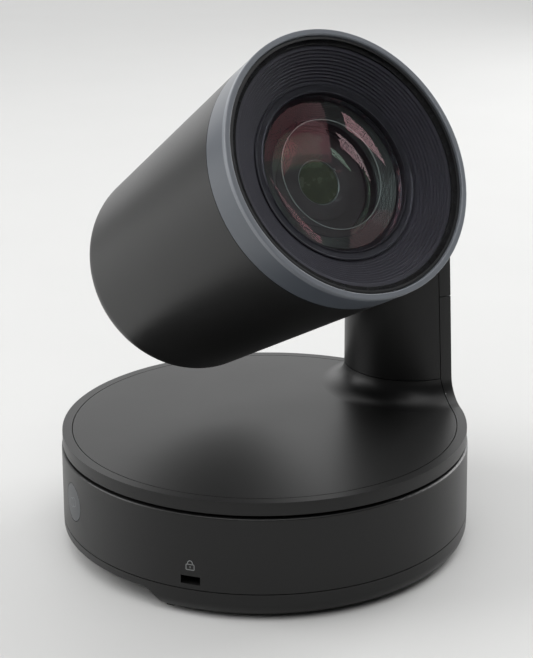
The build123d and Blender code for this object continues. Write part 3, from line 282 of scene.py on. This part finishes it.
def new_piece(name, mesh, material, body):
    """Puts a mesh in the scene with its material, on its body."""
    mesh.materials.append(material)
    piece = bpy.data.objects.new(name, mesh)
    bpy.context.scene.collection.objects.link(piece)
    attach(piece, body)
    return piece


def lens_piece(name, outline, material, turns=240):
    """An outline of (radius, height) turned about the lens axis, as a piece of the head."""
    mesh = turned_mesh(name, outline, turns)
    mesh.transform(LENS_FRAME)
    return new_piece(name, mesh, material, "head")


def ribbon(shape, path, width, closed):
    """A flat strip of this width along a path of (x, y) points, added to a bmesh at height 0."""
    count = len(path)
    lefts = []
    rights = []
    for place, point in enumerate(path):
        before = path[place - 1] if closed or place > 0 else point
        after = path[(place + 1) % count] if closed or place < count - 1 else point
        along = (Vector(after) - Vector(before)).normalized()
        normal = Vector((-along.y, along.x)) * width / 2
        lefts.append(shape.verts.new((point[0] + normal.x, point[1] + normal.y, 0.0)))
        rights.append(shape.verts.new((point[0] - normal.x, point[1] - normal.y, 0.0)))
    for place in range(count if closed else count - 1):
        onwards = (place + 1) % count
        shape.faces.new((lefts[place], rights[place], rights[onwards], lefts[onwards]))


def arc(centre, radius, start, end, steps=32):
    """Points on an arc between two angles in degrees."""
    angles = [math.radians(start + (end - start) * step / steps) for step in range(steps + 1)]
    return [(centre[0] + radius * math.cos(a), centre[1] + radius * math.sin(a)) for a in angles]


def wrapped_mark(name, shape, node, bearing, height, thickness):
    """Lays a flat sign, drawn in metres with Y up, onto a node's outer face, and gives it a thickness."""
    target = NODES[node].data
    tree = BVHTree.FromPolygons([v.co for v in target.vertices], [p.vertices for p in target.polygons])
    outward = Vector((math.cos(bearing), math.sin(bearing), 0.0))
    sideways = Vector((-math.sin(bearing), math.cos(bearing), 0.0))
    shape.normal_update()
    bmesh.ops.solidify(shape, geom=shape.faces, thickness=thickness)
    bmesh.ops.recalc_face_normals(shape, faces=shape.faces)
    lowest = min(vertex.co.z for vertex in shape.verts)
    for vertex in shape.verts:
        level = Vector((0.0, 0.0, height + vertex.co.y))
        start = outward * CLEAR_OF_BODY + sideways * vertex.co.x + level
        hit = tree.ray_cast(start, -outward)[0]
        if hit is None:
            raise RuntimeError(f"{name} has no surface of {node} behind it")
        rise = vertex.co.z - lowest
        vertex.co = hit + outward * (rise - thickness * INK_SUNK_SHARE)
    return closed_mesh(name, shape)


# ---------------------------------------------------------------- materials

def spark_textured_abs(name, colour, grain):
    """ABS moulded in a spark-eroded tool: matt, with fine pits that spread every highlight softly.

    The pits are several times wider than real ones, so that they show in a render.
    """
    material, tree, shader, place = new_surface(name, {"IOR": 1.5, "Specular IOR Level": 0.36})
    vary(tree, shader, place, colour, spread=0.05, patch=35 * MM, roughness=0.39, uneven=0.03)
    pits = add_node(tree, "ShaderNodeTexNoise", {"Scale": 1 / grain, "Detail": 2.0, "Roughness": 0.6},
                    {"Vector": (place, "Object")})
    emboss(tree, shader, pits, "Fac", strength=0.22, depth=0.05 * MM)
    return material


def satin_painted_metal(name, colour, roughness):
    """Sprayed satin paint on a metal ring: even, with a faint orange peel that ripples reflections."""
    material, tree, shader, place = new_surface(name, {
        "IOR": 1.5, "Coat Weight": 0.15, "Coat Roughness": 0.3,
    })
    vary(tree, shader, place, colour, spread=0.03, patch=18 * MM, roughness=roughness, uneven=0.02)
    peel = add_node(tree, "ShaderNodeTexNoise", {"Scale": 1 / (0.9 * MM), "Detail": 1.0},
                    {"Vector": (place, "Object")})
    emboss(tree, shader, peel, "Fac", strength=0.08, depth=0.03 * MM)
    return material


def matt_black_abs(name, colour, roughness=0.62):
    """Black moulded plastic that swallows stray light: flat, with hardly a highlight."""
    material, tree, shader, place = new_surface(name, {"IOR": 1.5, "Specular IOR Level": 0.4})
    vary(tree, shader, place, colour, spread=0.12, patch=6 * MM, roughness=roughness, uneven=0.05)
    pits = add_node(tree, "ShaderNodeTexNoise", {"Scale": 1 / (0.5 * MM), "Detail": 2.0},
                    {"Vector": (place, "Object")})
    emboss(tree, shader, pits, "Fac", strength=0.3, depth=0.06 * MM)
    return material


def black_anodised_aluminium():
    """Turned aluminium, anodised black: dark, with a fine grain that breaks up its highlights."""
    material, tree, shader, place = new_surface("black_anodised_aluminium", {"Metallic": 1.0})
    vary(tree, shader, place, linear("#3a3a3e"), spread=0.1, patch=5 * MM, roughness=0.42, uneven=0.05)
    grain = add_node(tree, "ShaderNodeTexNoise", {"Scale": 1 / (0.4 * MM), "Detail": 1.0},
                     {"Vector": (place, "Object")})
    emboss(tree, shader, grain, "Fac", strength=0.1, depth=0.03 * MM)
    return material


def ground_glass(name, colour):
    """Glass ground with fine grit: frosted. Each copy's colour paints in its light: painted shade on the window's
    edge, a painted highlight on the bowl's edge.
    """
    material, tree, shader, place = new_surface(name, {"IOR": 1.5})
    vary(tree, shader, place, colour, spread=0.05, patch=2 * MM, roughness=0.5, uneven=0.05)
    return material


def coated_glass(name, tint, body_colour, index):
    """Polished glass with an anti-reflection coating: clear, with a faint coloured reflection.

    The index is lower than the glass's own, because the coating takes most of the reflection away.
    """
    material, tree, shader, place = new_surface(name, {
        "Base Color": body_colour, "Roughness": 0.0, "IOR": index, "Transmission Weight": 1.0,
        "Specular Tint": tint,
    })
    haze = add_node(tree, "ShaderNodeTexNoise", {"Scale": 1 / (4 * MM), "Detail": 4.0},
                    {"Vector": (place, "Object")})
    gloss = add_node(tree, "ShaderNodeMapRange", {"From Min": 0.45, "From Max": 0.8, "To Max": 0.03},
                     {"Value": (haze, "Fac")})
    tree.links.new(gloss.outputs["Result"], shader.inputs["Roughness"])
    return material


def painted_glass(name, colour):
    """Deep glass, glossy, with cloudy patches; its dark green base colour is a painted reflection of its coating.
    """
    material, tree, shader, place = new_surface(name, {
        "IOR": 1.5, "Coat Weight": 0.3, "Coat Roughness": 0.02,
    })
    vary(tree, shader, place, colour, spread=0.35, patch=5 * MM, roughness=0.25, uneven=0.1)
    return material


def moulded_rubber():
    """Black rubber, moulded: dull, with a dusty grey bloom."""
    material, tree, shader, place = new_surface("moulded_rubber", {"IOR": 1.52, "Sheen Weight": 0.1})
    vary(tree, shader, place, linear("#1c1c1d"), spread=0.15, patch=4 * MM, roughness=0.8, uneven=0.05)
    return material


def metal(name, hex_colour, roughness, streak, stretch):
    """Bare metal with the streaks that its working leaves, streak metres wide."""
    material, tree, shader, place = new_surface(name, {"Metallic": 1.0})
    colour = linear(hex_colour)
    vary(tree, shader, place, colour, spread=0.06, patch=10 * MM, roughness=roughness, uneven=0.06)
    mapping = add_node(tree, "ShaderNodeMapping", {"Scale": stretch}, {"Vector": (place, "Object")})
    streaks = add_node(tree, "ShaderNodeTexNoise", {"Scale": 1 / streak, "Detail": 2.0},
                       {"Vector": (mapping, "Vector")})
    emboss(tree, shader, streaks, "Fac", strength=0.15, depth=0.03 * MM)
    return material


def moulded_acetal():
    """Acetal moulded into gears: milky white, a little waxy."""
    material, tree, shader, place = new_surface("moulded_acetal", {
        "IOR": 1.48, "Subsurface Weight": 0.1, "Subsurface Scale": 0.5 * MM,
    })
    vary(tree, shader, place, linear("#e6e2d6"), spread=0.03, patch=8 * MM, roughness=0.35, uneven=0.04)
    return material


def solder_mask_board():
    """Glass fibre board under green solder mask: glossy, with lighter tracks a millimetre apart."""
    material, tree, shader, place = new_surface("solder_mask_board", {"IOR": 1.5, "Roughness": 0.3})
    tracks = add_node(tree, "ShaderNodeTexBrick", {
        "Scale": 1 / (4 * MM), "Mortar Size": 0.06, "Color1": linear("#0f4a2c"),
        "Color2": linear("#125434"), "Mortar": linear("#1c7a4c"),
    }, {"Vector": (place, "Object")})
    tree.links.new(tracks.outputs["Color"], shader.inputs["Base Color"])
    emboss(tree, shader, tracks, "Fac", strength=0.3, depth=0.04 * MM)
    return material


def screen_ink(name, colour):
    """Screen-printed ink: flat and matt, a little uneven."""
    material, tree, shader, place = new_surface(name, {"IOR": 1.5})
    vary(tree, shader, place, colour, spread=0.08, patch=1.5 * MM, roughness=0.6, uneven=0.05)
    return material


def paper_sweep(colour):
    """Matt paper under the camera: pale, with a barely uneven tone."""
    material, tree, shader, place = new_surface("matt_paper", {"IOR": 1.45, "Specular IOR Level": 0.3})
    vary(tree, shader, place, colour, spread=0.012, patch=0.12, roughness=0.6, uneven=0.04)
    return material


# ---------------------------------------------------------------- operators

class CAMERA_OT_covers(bpy.types.Operator):
    """Finish the head, the turret, the arm and the base."""
    bl_idname = "camera_looks.covers"
    bl_label = "Covers"

    def execute(self, context):
        settings = context.scene.camera_finish
        shell = spark_textured_abs("abs_spark_textured_charcoal", settings.shell, settings.grain)
        drum = spark_textured_abs("abs_spark_textured_drum", settings.drum, settings.grain)
        finish(shell, "head_shell", "turret_shell", "arm_outer_cap", "turret_cover", "arm_inner_cover")
        finish(drum, "drum_wall", "bottom_shell")
        finish(moulded_rubber(), "rubber_feet")
        return {"FINISHED"}


class CAMERA_OT_front_rings(bpy.types.Operator):
    """Finish the painted band and lip, and add the window's ground edge."""
    bl_idname = "camera_looks.front_rings"
    bl_label = "Front rings"

    def execute(self, context):
        settings = context.scene.camera_finish
        finish(satin_painted_metal("satin_painted_band", settings.band, 0.4), "front_band")
        finish(satin_painted_metal("satin_painted_lip", settings.lip, 0.36), "front_lip")
        finish(matt_black_abs("black_foam_gasket", linear("#040404"), 0.9), "window_gasket")
        self.window_edge(context.scene.camera_lens)
        return {"FINISHED"}

    def window_edge(self, settings):
        """The ground, slightly sloping edge round the window's front. Its near-black colour is painted shade."""
        _, front, _, outer = lens_span("front_window")
        inner = outer - settings.edge_width
        low = front + settings.edge_rise / 3
        high = front + settings.edge_rise
        outline = rounded([(inner, front), (outer, front), (outer, low), (inner, high)], 0.03 * MM, 2)
        # Near-black ground glass: painted shade on the window's edge.
        glass = ground_glass("ground_glass_painted_shade", linear("#121315"))
        lens_piece("window_ground_edge", outline, glass)


class CAMERA_OT_ridged_cone(bpy.types.Operator):
    """Build the ridged cone round the lens."""
    bl_idname = "camera_looks.ridged_cone"
    bl_label = "Ridged cone"

    def execute(self, context):
        settings = context.scene.camera_lens
        back, front, inner, outer = lens_span("lens_baffle")
        mouth = settings.cone_mouth
        foot = back + 1.5 * MM
        run = (mouth - inner) / settings.ridges
        drop = (front - foot) / settings.ridges
        undercut = 0.1 * run
        crest = 0.25 * drop
        outline = [(outer, front), (mouth, front)]
        for ridge in range(settings.ridges):
            radius = mouth - run * ridge
            height = front - drop * (ridge + 1)
            outline.append((radius - undercut, height - crest))
            outline.append((radius - run, height))
        rear = front - settings.cone_wall - drop
        outline = rounded(outline, settings.ridge_round, 3) + [(inner, back), (mouth, rear), (outer, rear)]
        # The purple in this colour is a painted reflection of the window's coating.
        material = matt_black_abs("abs_matt_ridged_cone_painted_reflection", context.scene.camera_finish.cone, 0.55)
        piece = lens_piece("ridged_cone", outline, material, 288)
        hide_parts("lens_baffle")
        return {"FINISHED"}


class CAMERA_OT_lens(bpy.types.Operator):
    """Finish the glass and build the rings that are seen inside the lens."""
    bl_idname = "camera_looks.lens"
    bl_label = "Lens"

    def execute(self, context):
        settings = context.scene.camera_lens
        black = context.scene.camera_finish.inner_black
        clear = linear("#f7fbfa")
        front_glass = coated_glass("crown_glass_pink_coated", settings.coating, clear, 1.42)
        inner_glass = coated_glass("crown_glass_green_coated", linear("#9fc08c"), clear, 1.4)
        window_glass = coated_glass("float_glass_coated", settings.window_coating,
                                    linear("#f1f2f5"), 1.25)
        finish(window_glass, "front_window")
        finish(front_glass, "front_element")
        finish(inner_glass, "inner_element", "zoom_lens", "focus_lens")
        # Light has to get through the glass to the pieces behind it.
        for name in ("front_window", "front_element", "inner_element", "zoom_lens", "focus_lens"):
            NODES[name].visible_shadow = False
        anodised = black_anodised_aluminium()
        finish(anodised, "lens_barrel", "head_chassis", "sensor_mount", "fixed_lens_cell", "tilt_hub")
        finish(matt_black_abs("abs_matt_black", black), "iris_unit", "zoom_carrier", "focus_carrier")
        self.retaining_ring(anodised)
        self.barrel_threads(settings)
        self.bowl_edge()
        self.pupil(settings)
        return {"FINISHED"}

    def retaining_ring(self, material):
        """A black ring with a stepped, bevelled mouth, that holds the front lens."""
        back, front, inner, outer = lens_span("front_retainer")
        mouth = inner + 1.4 * MM
        rabbet = mouth + 0.6 * MM
        seat = back + 0.6 * MM
        ledge = front - 0.6 * MM
        brow = front - 0.3 * MM
        outline = rounded([
            (outer, seat), (outer, front), (outer - 0.5 * MM, front),
            (outer - 0.8 * MM, front - 0.4 * MM), (mouth + 0.8 * MM, ledge),
            (mouth + 0.5 * MM, brow), (mouth + 0.2 * MM, brow),
            (mouth, back + 1.2 * MM), (mouth, back), (rabbet, back), (rabbet, seat),
        ], 0.1 * MM, 3)
        piece = lens_piece("retaining_ring", outline, material)
        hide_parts("front_retainer")

    def barrel_threads(self, settings):
        """A grooved funnel between the front lens and the inner lens."""
        front = lens_span("front_element")[0] - 0.1 * MM
        back = lens_span("fixed_lens_cell")[1] + 0.02 * MM
        wide = lens_span("front_retainer")[2] - 0.6 * MM
        narrow = lens_span("inner_element")[3] + 0.3 * MM
        wall = wide + 0.4 * MM
        inwards = (narrow - wide) / settings.threads
        backwards = (back - front) / settings.threads
        outline = []
        for groove in range(settings.threads):
            radius = wide + inwards * groove
            height = front + backwards * groove
            outline.append((radius, height))
            outline.append((radius + inwards * 0.5, height + backwards * 0.9))
        outline = rounded(outline + [(narrow, back), (wall, back), (wall, front)], 0.05 * MM, 2)
        material = metal("turned_grey_aluminium", "#3c3f3e", roughness=0.45,
                         streak=0.5 * MM, stretch=(1.0, 1.0, 1.0))
        lens_piece("barrel_threads", outline, material)

    def bowl_edge(self):
        """The ground edge of the hollow in the front lens's back, which shows as a thin bright circle. The
        circle's light grey is a painted highlight.
        """
        outer = lens_span("inner_element")[3] - 0.85 * MM
        inner = outer - 0.2 * MM
        glass_back = lens_span("front_element")[0]
        front = glass_back - 0.02 * MM
        back = glass_back - 0.25 * MM
        outline = rounded([(inner, back), (outer, back), (outer, front), (inner, front)], 0.05 * MM, 2)
        # Light grey ground glass: a painted highlight on the bowl's edge.
        glass = ground_glass("ground_glass_painted_highlight", linear("#7c807e"))
        lens_piece("bowl_ground_edge", outline, glass)

    def pupil(self, settings):
        """A black stop behind the inner lens, with a bright chamfer round a disc of coated glass whose green is a
        painted reflection.
        """
        front = lens_span("inner_element")[0] - 0.1 * MM
        back = front - 0.5 * MM
        hole = settings.pupil
        outer = lens_span("fixed_lens_cell")[2] - 0.05 * MM
        rim = hole + 0.5 * MM
        step = 1.8 * hole
        stepped = front - 0.15 * MM
        stop = [(rim, front), (step, front), (step, stepped), (outer, stepped), (outer, back), (rim, back)]
        chamfer = [(hole, back), (rim, back), (rim, front), (hole + 0.3 * MM, front)]
        disc = [(0.0, back), (hole, back), (hole, front - 0.35 * MM), (0.0, front - 0.1 * MM)]
        stop_black = matt_black_abs("blackened_brass_stop", linear("#332e30"), 0.5)
        bright = metal("turned_bright_edge", "#8e918f", roughness=0.35,
                       streak=0.3 * MM, stretch=(1.0, 1.0, 1.0))
        # The rear glass's dark green base colour is a painted reflection of its coating.
        green = painted_glass("rear_glass_painted_green_reflection", linear("#33372a"))
        softening = 0.05 * MM
        lens_piece("rear_stop", rounded(stop, softening, 2), stop_black)
        lens_piece("rear_stop_chamfer", rounded(chamfer, softening, 2), bright)
        lens_piece("rear_glass", disc, green)


class CAMERA_OT_marks(bpy.types.Operator):
    """Print the padlock by the security slot and the sign on the pairing button."""
    bl_idname = "camera_looks.marks"
    bl_label = "Printed signs"

    def execute(self, context):
        settings = context.scene.camera_marks
        colours = context.scene.camera_finish
        ink = screen_ink("screen_printed_ink", colours.print_ink)
        faint_ink = screen_ink("screen_printed_ink_faint", colours.print_ink_faint)
        mounts = {mount["name"]: mount for mount in frame["record"]["mounts"]}
        slot = Vector(mounts["security_slot"]["pos_m"])
        self.padlock(settings, ink, math.atan2(slot.y, slot.x), slot.z)
        button = spark_textured_abs("abs_spark_textured_button", colours.button, colours.grain)
        finish(button, "pairing_button")
        press = -Vector(JOINTS["pairing_button_press"]["axis"])
        low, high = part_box("pairing_button")
        self.links(settings, faint_ink, math.atan2(press.y, press.x), (low.z + high.z) / 2)
        return {"FINISHED"}

    def padlock(self, settings, ink, bearing, slot_height):
        """An outlined body with a keyhole, under a round shackle."""
        half = settings.padlock_width / 2
        foot = settings.padlock_rise
        tall = half * 1.35
        top = foot + tall
        shackle = half * 0.58
        shape = bmesh.new()
        body = rounded([(-half, foot), (half, foot), (half, top), (-half, top)], half * 0.2, 3)
        ribbon(shape, body, settings.stroke, True)
        bow = arc((0.0, top + shackle * 0.6), shackle, 0, 180)
        ribbon(shape, [(shackle, top)] + bow + [(-shackle, top)], settings.stroke, False)
        keyhole = [(0.0, foot + tall * 0.3), (0.0, foot + tall * 0.7)]
        ribbon(shape, keyhole, settings.stroke, False)
        mesh = wrapped_mark("padlock_sign", shape, "drum_wall", bearing, slot_height, settings.thickness)
        new_piece("padlock_sign", mesh, ink, "base")

    def links(self, settings, ink, bearing, height):
        """Two rings that lock into each other, a plain sign for pairing."""
        radius = settings.link_radius
        aside = radius * 0.62
        raised = radius * 0.25
        sweep = 300
        shape = bmesh.new()
        for side, start in ((-1, 40), (1, 220)):
            ring = arc((side * aside, side * raised), radius, start, start + sweep, 48)
            ribbon(shape, ring, settings.stroke, False)
        mesh = wrapped_mark("link_sign", shape, "pairing_button", bearing, height, settings.thickness)
        new_piece("link_sign", mesh, ink, "pairing_button")


class CAMERA_OT_insides(bpy.types.Operator):
    """Finish the bearings, gears, motors, boards and sockets inside."""
    bl_idname = "camera_looks.insides"
    bl_label = "Inside pieces"

    def execute(self, context):
        stamped = metal("stamped_zinc_plated_steel", "#a9abab", roughness=0.38,
                        streak=0.8 * MM, stretch=(1.0, 6.0, 1.0))
        ground = metal("ground_bearing_steel", "#d5d6d7", roughness=0.16,
                       streak=0.3 * MM, stretch=(1.0, 1.0, 8.0))
        brass = metal("turned_brass", "#d3ab62", roughness=0.26,
                      streak=0.3 * MM, stretch=(1.0, 1.0, 6.0))
        machined = metal("machined_aluminium", "#c7c9cb", roughness=0.32,
                         streak=0.4 * MM, stretch=(6.0, 1.0, 1.0))
        finish(stamped, "slot_plate", "base_frame", "turret_plate", "arm_bracket", "frame_screws",
               "base_screws", "turret_screws", "pan_motor", "tilt_motor", "spindle_clip", "usb_socket",
               "video_socket", "magnet_rail")
        finish(ground, "pan_bearing_outer_race", "pan_bearing_inner_race", "pan_bearing_balls", "guide_rods")
        finish(brass, "tripod_insert", "pan_pinion", "tilt_pinion", "tilt_bushes")
        wire = metal("enamelled_copper_wire", "#b06a3c", roughness=0.3,
                     streak=0.3 * MM, stretch=(1.0, 1.0, 8.0))
        finish(wire, "zoom_coil")
        finish(machined, "pan_spindle", "heat_sink")
        finish(moulded_acetal(), "pan_gear", "tilt_gear")
        finish(solder_mask_board(), "main_board", "button_board", "sensor_board", "processor_board")
        black = context.scene.camera_finish.inner_black
        finish(matt_black_abs("pbt_matt_black", black), "pairing_switch", "power_jack")
        finish(coated_glass("sensor_cover_glass", linear("#7fb0ff"), linear("#5a6a80"), 1.5), "image_sensor")
        return {"FINISHED"}


# Name, place, what it faces and size in metres, and the brightness of the lamp's face.
LAMPS = (
    ("overhead_panel", (-0.25, 0.35, 2.2), (-0.25, 0.35, 0.0), (4.0, 4.0), 1.15),
    ("rear_panel", (1.5, 2.15, 0.85), (0.0, 0.0, 0.4), (5.0, 1.7), 1.35),
    ("left_softbox", (-1.1, 0.8, 0.6), (0.0, 0.0, 0.1), (1.0, 1.2), 4.6),
    ("right_softbox", (1.35, 0.1, 0.6), (0.0, 0.0, 0.1), (1.0, 1.2), 4.6),
    ("front_panel", (-0.6, -0.6, 1.5), (-0.3, -0.3, 0.0), (1.4, 1.4), 1.8),
)


class CAMERA_OT_stage(bpy.types.Operator):
    """Lay the floor, hang the lamps and place the camera."""
    bl_idname = "camera_looks.stage"
    bl_label = "Stage"

    def execute(self, context):
        settings = context.scene.camera_stage
        context.scene.view_settings.view_transform = "Standard"
        self.floor(settings)
        self.surroundings(context.scene, settings)
        self.lamps()
        self.camera(context.scene, settings)
        return {"FINISHED"}

    def floor(self, settings):
        """A round sheet of paper with the conference camera in its middle."""
        shape = bmesh.new()
        bmesh.ops.create_circle(shape, cap_ends=True, segments=96, radius=FLOOR_RADIUS)
        mesh = closed_mesh("paper_floor", shape)
        mesh.materials.append(paper_sweep(settings.floor))
        sheet = bpy.data.objects.new("paper_floor", mesh)
        bpy.context.scene.collection.objects.link(sheet)

    def surroundings(self, scene, settings):
        """Weak, even light from all round."""
        world = bpy.data.worlds.new("light_tent")
        scene.world = world
        world.use_nodes = True
        backdrop = world.node_tree.nodes["Background"]
        backdrop.inputs["Color"].default_value = settings.sky
        backdrop.inputs["Strength"].default_value = settings.sky_strength

    def lamps(self):
        """A wide overhead panel, a wall of light behind, a softbox on either side, and one in front."""
        for name, place, aim, size, radiance in LAMPS:
            lamp = bpy.data.lights.new(name, "AREA")
            lamp.shape = "RECTANGLE"
            lamp.size, lamp.size_y = size
            lamp.energy = radiance * math.pi * size[0] * size[1]
            holder = bpy.data.objects.new(name, lamp)
            holder.location = place
            holder.rotation_euler = (Vector(aim) - Vector(place)).to_track_quat("-Z", "Y").to_euler()
            holder.visible_camera = False
            bpy.context.scene.collection.objects.link(holder)

    def camera(self, scene, settings):
        """Places the camera by its heading, pitch, roll and distance from the point it looks at."""
        heading, pitch = settings.heading, settings.pitch
        backwards = Vector((math.sin(heading) * math.cos(pitch), -math.cos(heading) * math.cos(pitch),
                            math.sin(pitch)))
        level = Vector((math.cos(heading), math.sin(heading), 0.0))
        upright = backwards.cross(level)
        rightwards = level * math.cos(settings.roll) + upright * math.sin(settings.roll)
        upwards = backwards.cross(rightwards)
        eye = Vector(settings.aim) + backwards * settings.distance
        data = bpy.data.cameras.new("camera")
        data.lens = settings.focal_length
        holder = bpy.data.objects.new("camera", data)
        holder.matrix_world = Matrix((
            (rightwards.x, upwards.x, backwards.x, eye.x),
            (rightwards.y, upwards.y, backwards.y, eye.y),
            (rightwards.z, upwards.z, backwards.z, eye.z),
            (0.0, 0.0, 0.0, 1.0),
        ))
        scene.collection.objects.link(holder)
        scene.camera = holder


OPERATORS = (
    CAMERA_OT_covers,
    CAMERA_OT_front_rings,
    CAMERA_OT_ridged_cone,
    CAMERA_OT_lens,
    CAMERA_OT_marks,
    CAMERA_OT_insides,
    CAMERA_OT_stage,
)


class CAMERA_PT_looks(bpy.types.Panel):
    """Lists the steps that finish the camera."""
    bl_label = "Camera Looks"
    bl_idname = "CAMERA_PT_looks"
    bl_space_type = "VIEW_3D"
    bl_region_type = "UI"
    bl_category = "Camera Looks"

    def draw(self, context):
        for operator in OPERATORS:
            self.layout.operator(operator.bl_idname)
        for name, group in SETTINGS.items():
            box = self.layout.box()
            for setting in group.__annotations__:
                box.prop(getattr(context.scene, name), setting)


CLASSES = (*SETTINGS.values(), *OPERATORS, CAMERA_PT_looks)


def register():
    for each in CLASSES:
        bpy.utils.register_class(each)
    for name, group in SETTINGS.items():
        setattr(bpy.types.Scene, name, PointerProperty(type=group))


def unregister():
    for name in SETTINGS:
        delattr(bpy.types.Scene, name)
    for each in reversed(CLASSES):
        bpy.utils.unregister_class(each)


def main():
    """Registers the add-on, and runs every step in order."""
    register()
    for operator in OPERATORS:
        group, step = operator.bl_idname.split(".")
        getattr(getattr(bpy.ops, group), step)()


if __name__ == "__main__":
    main()
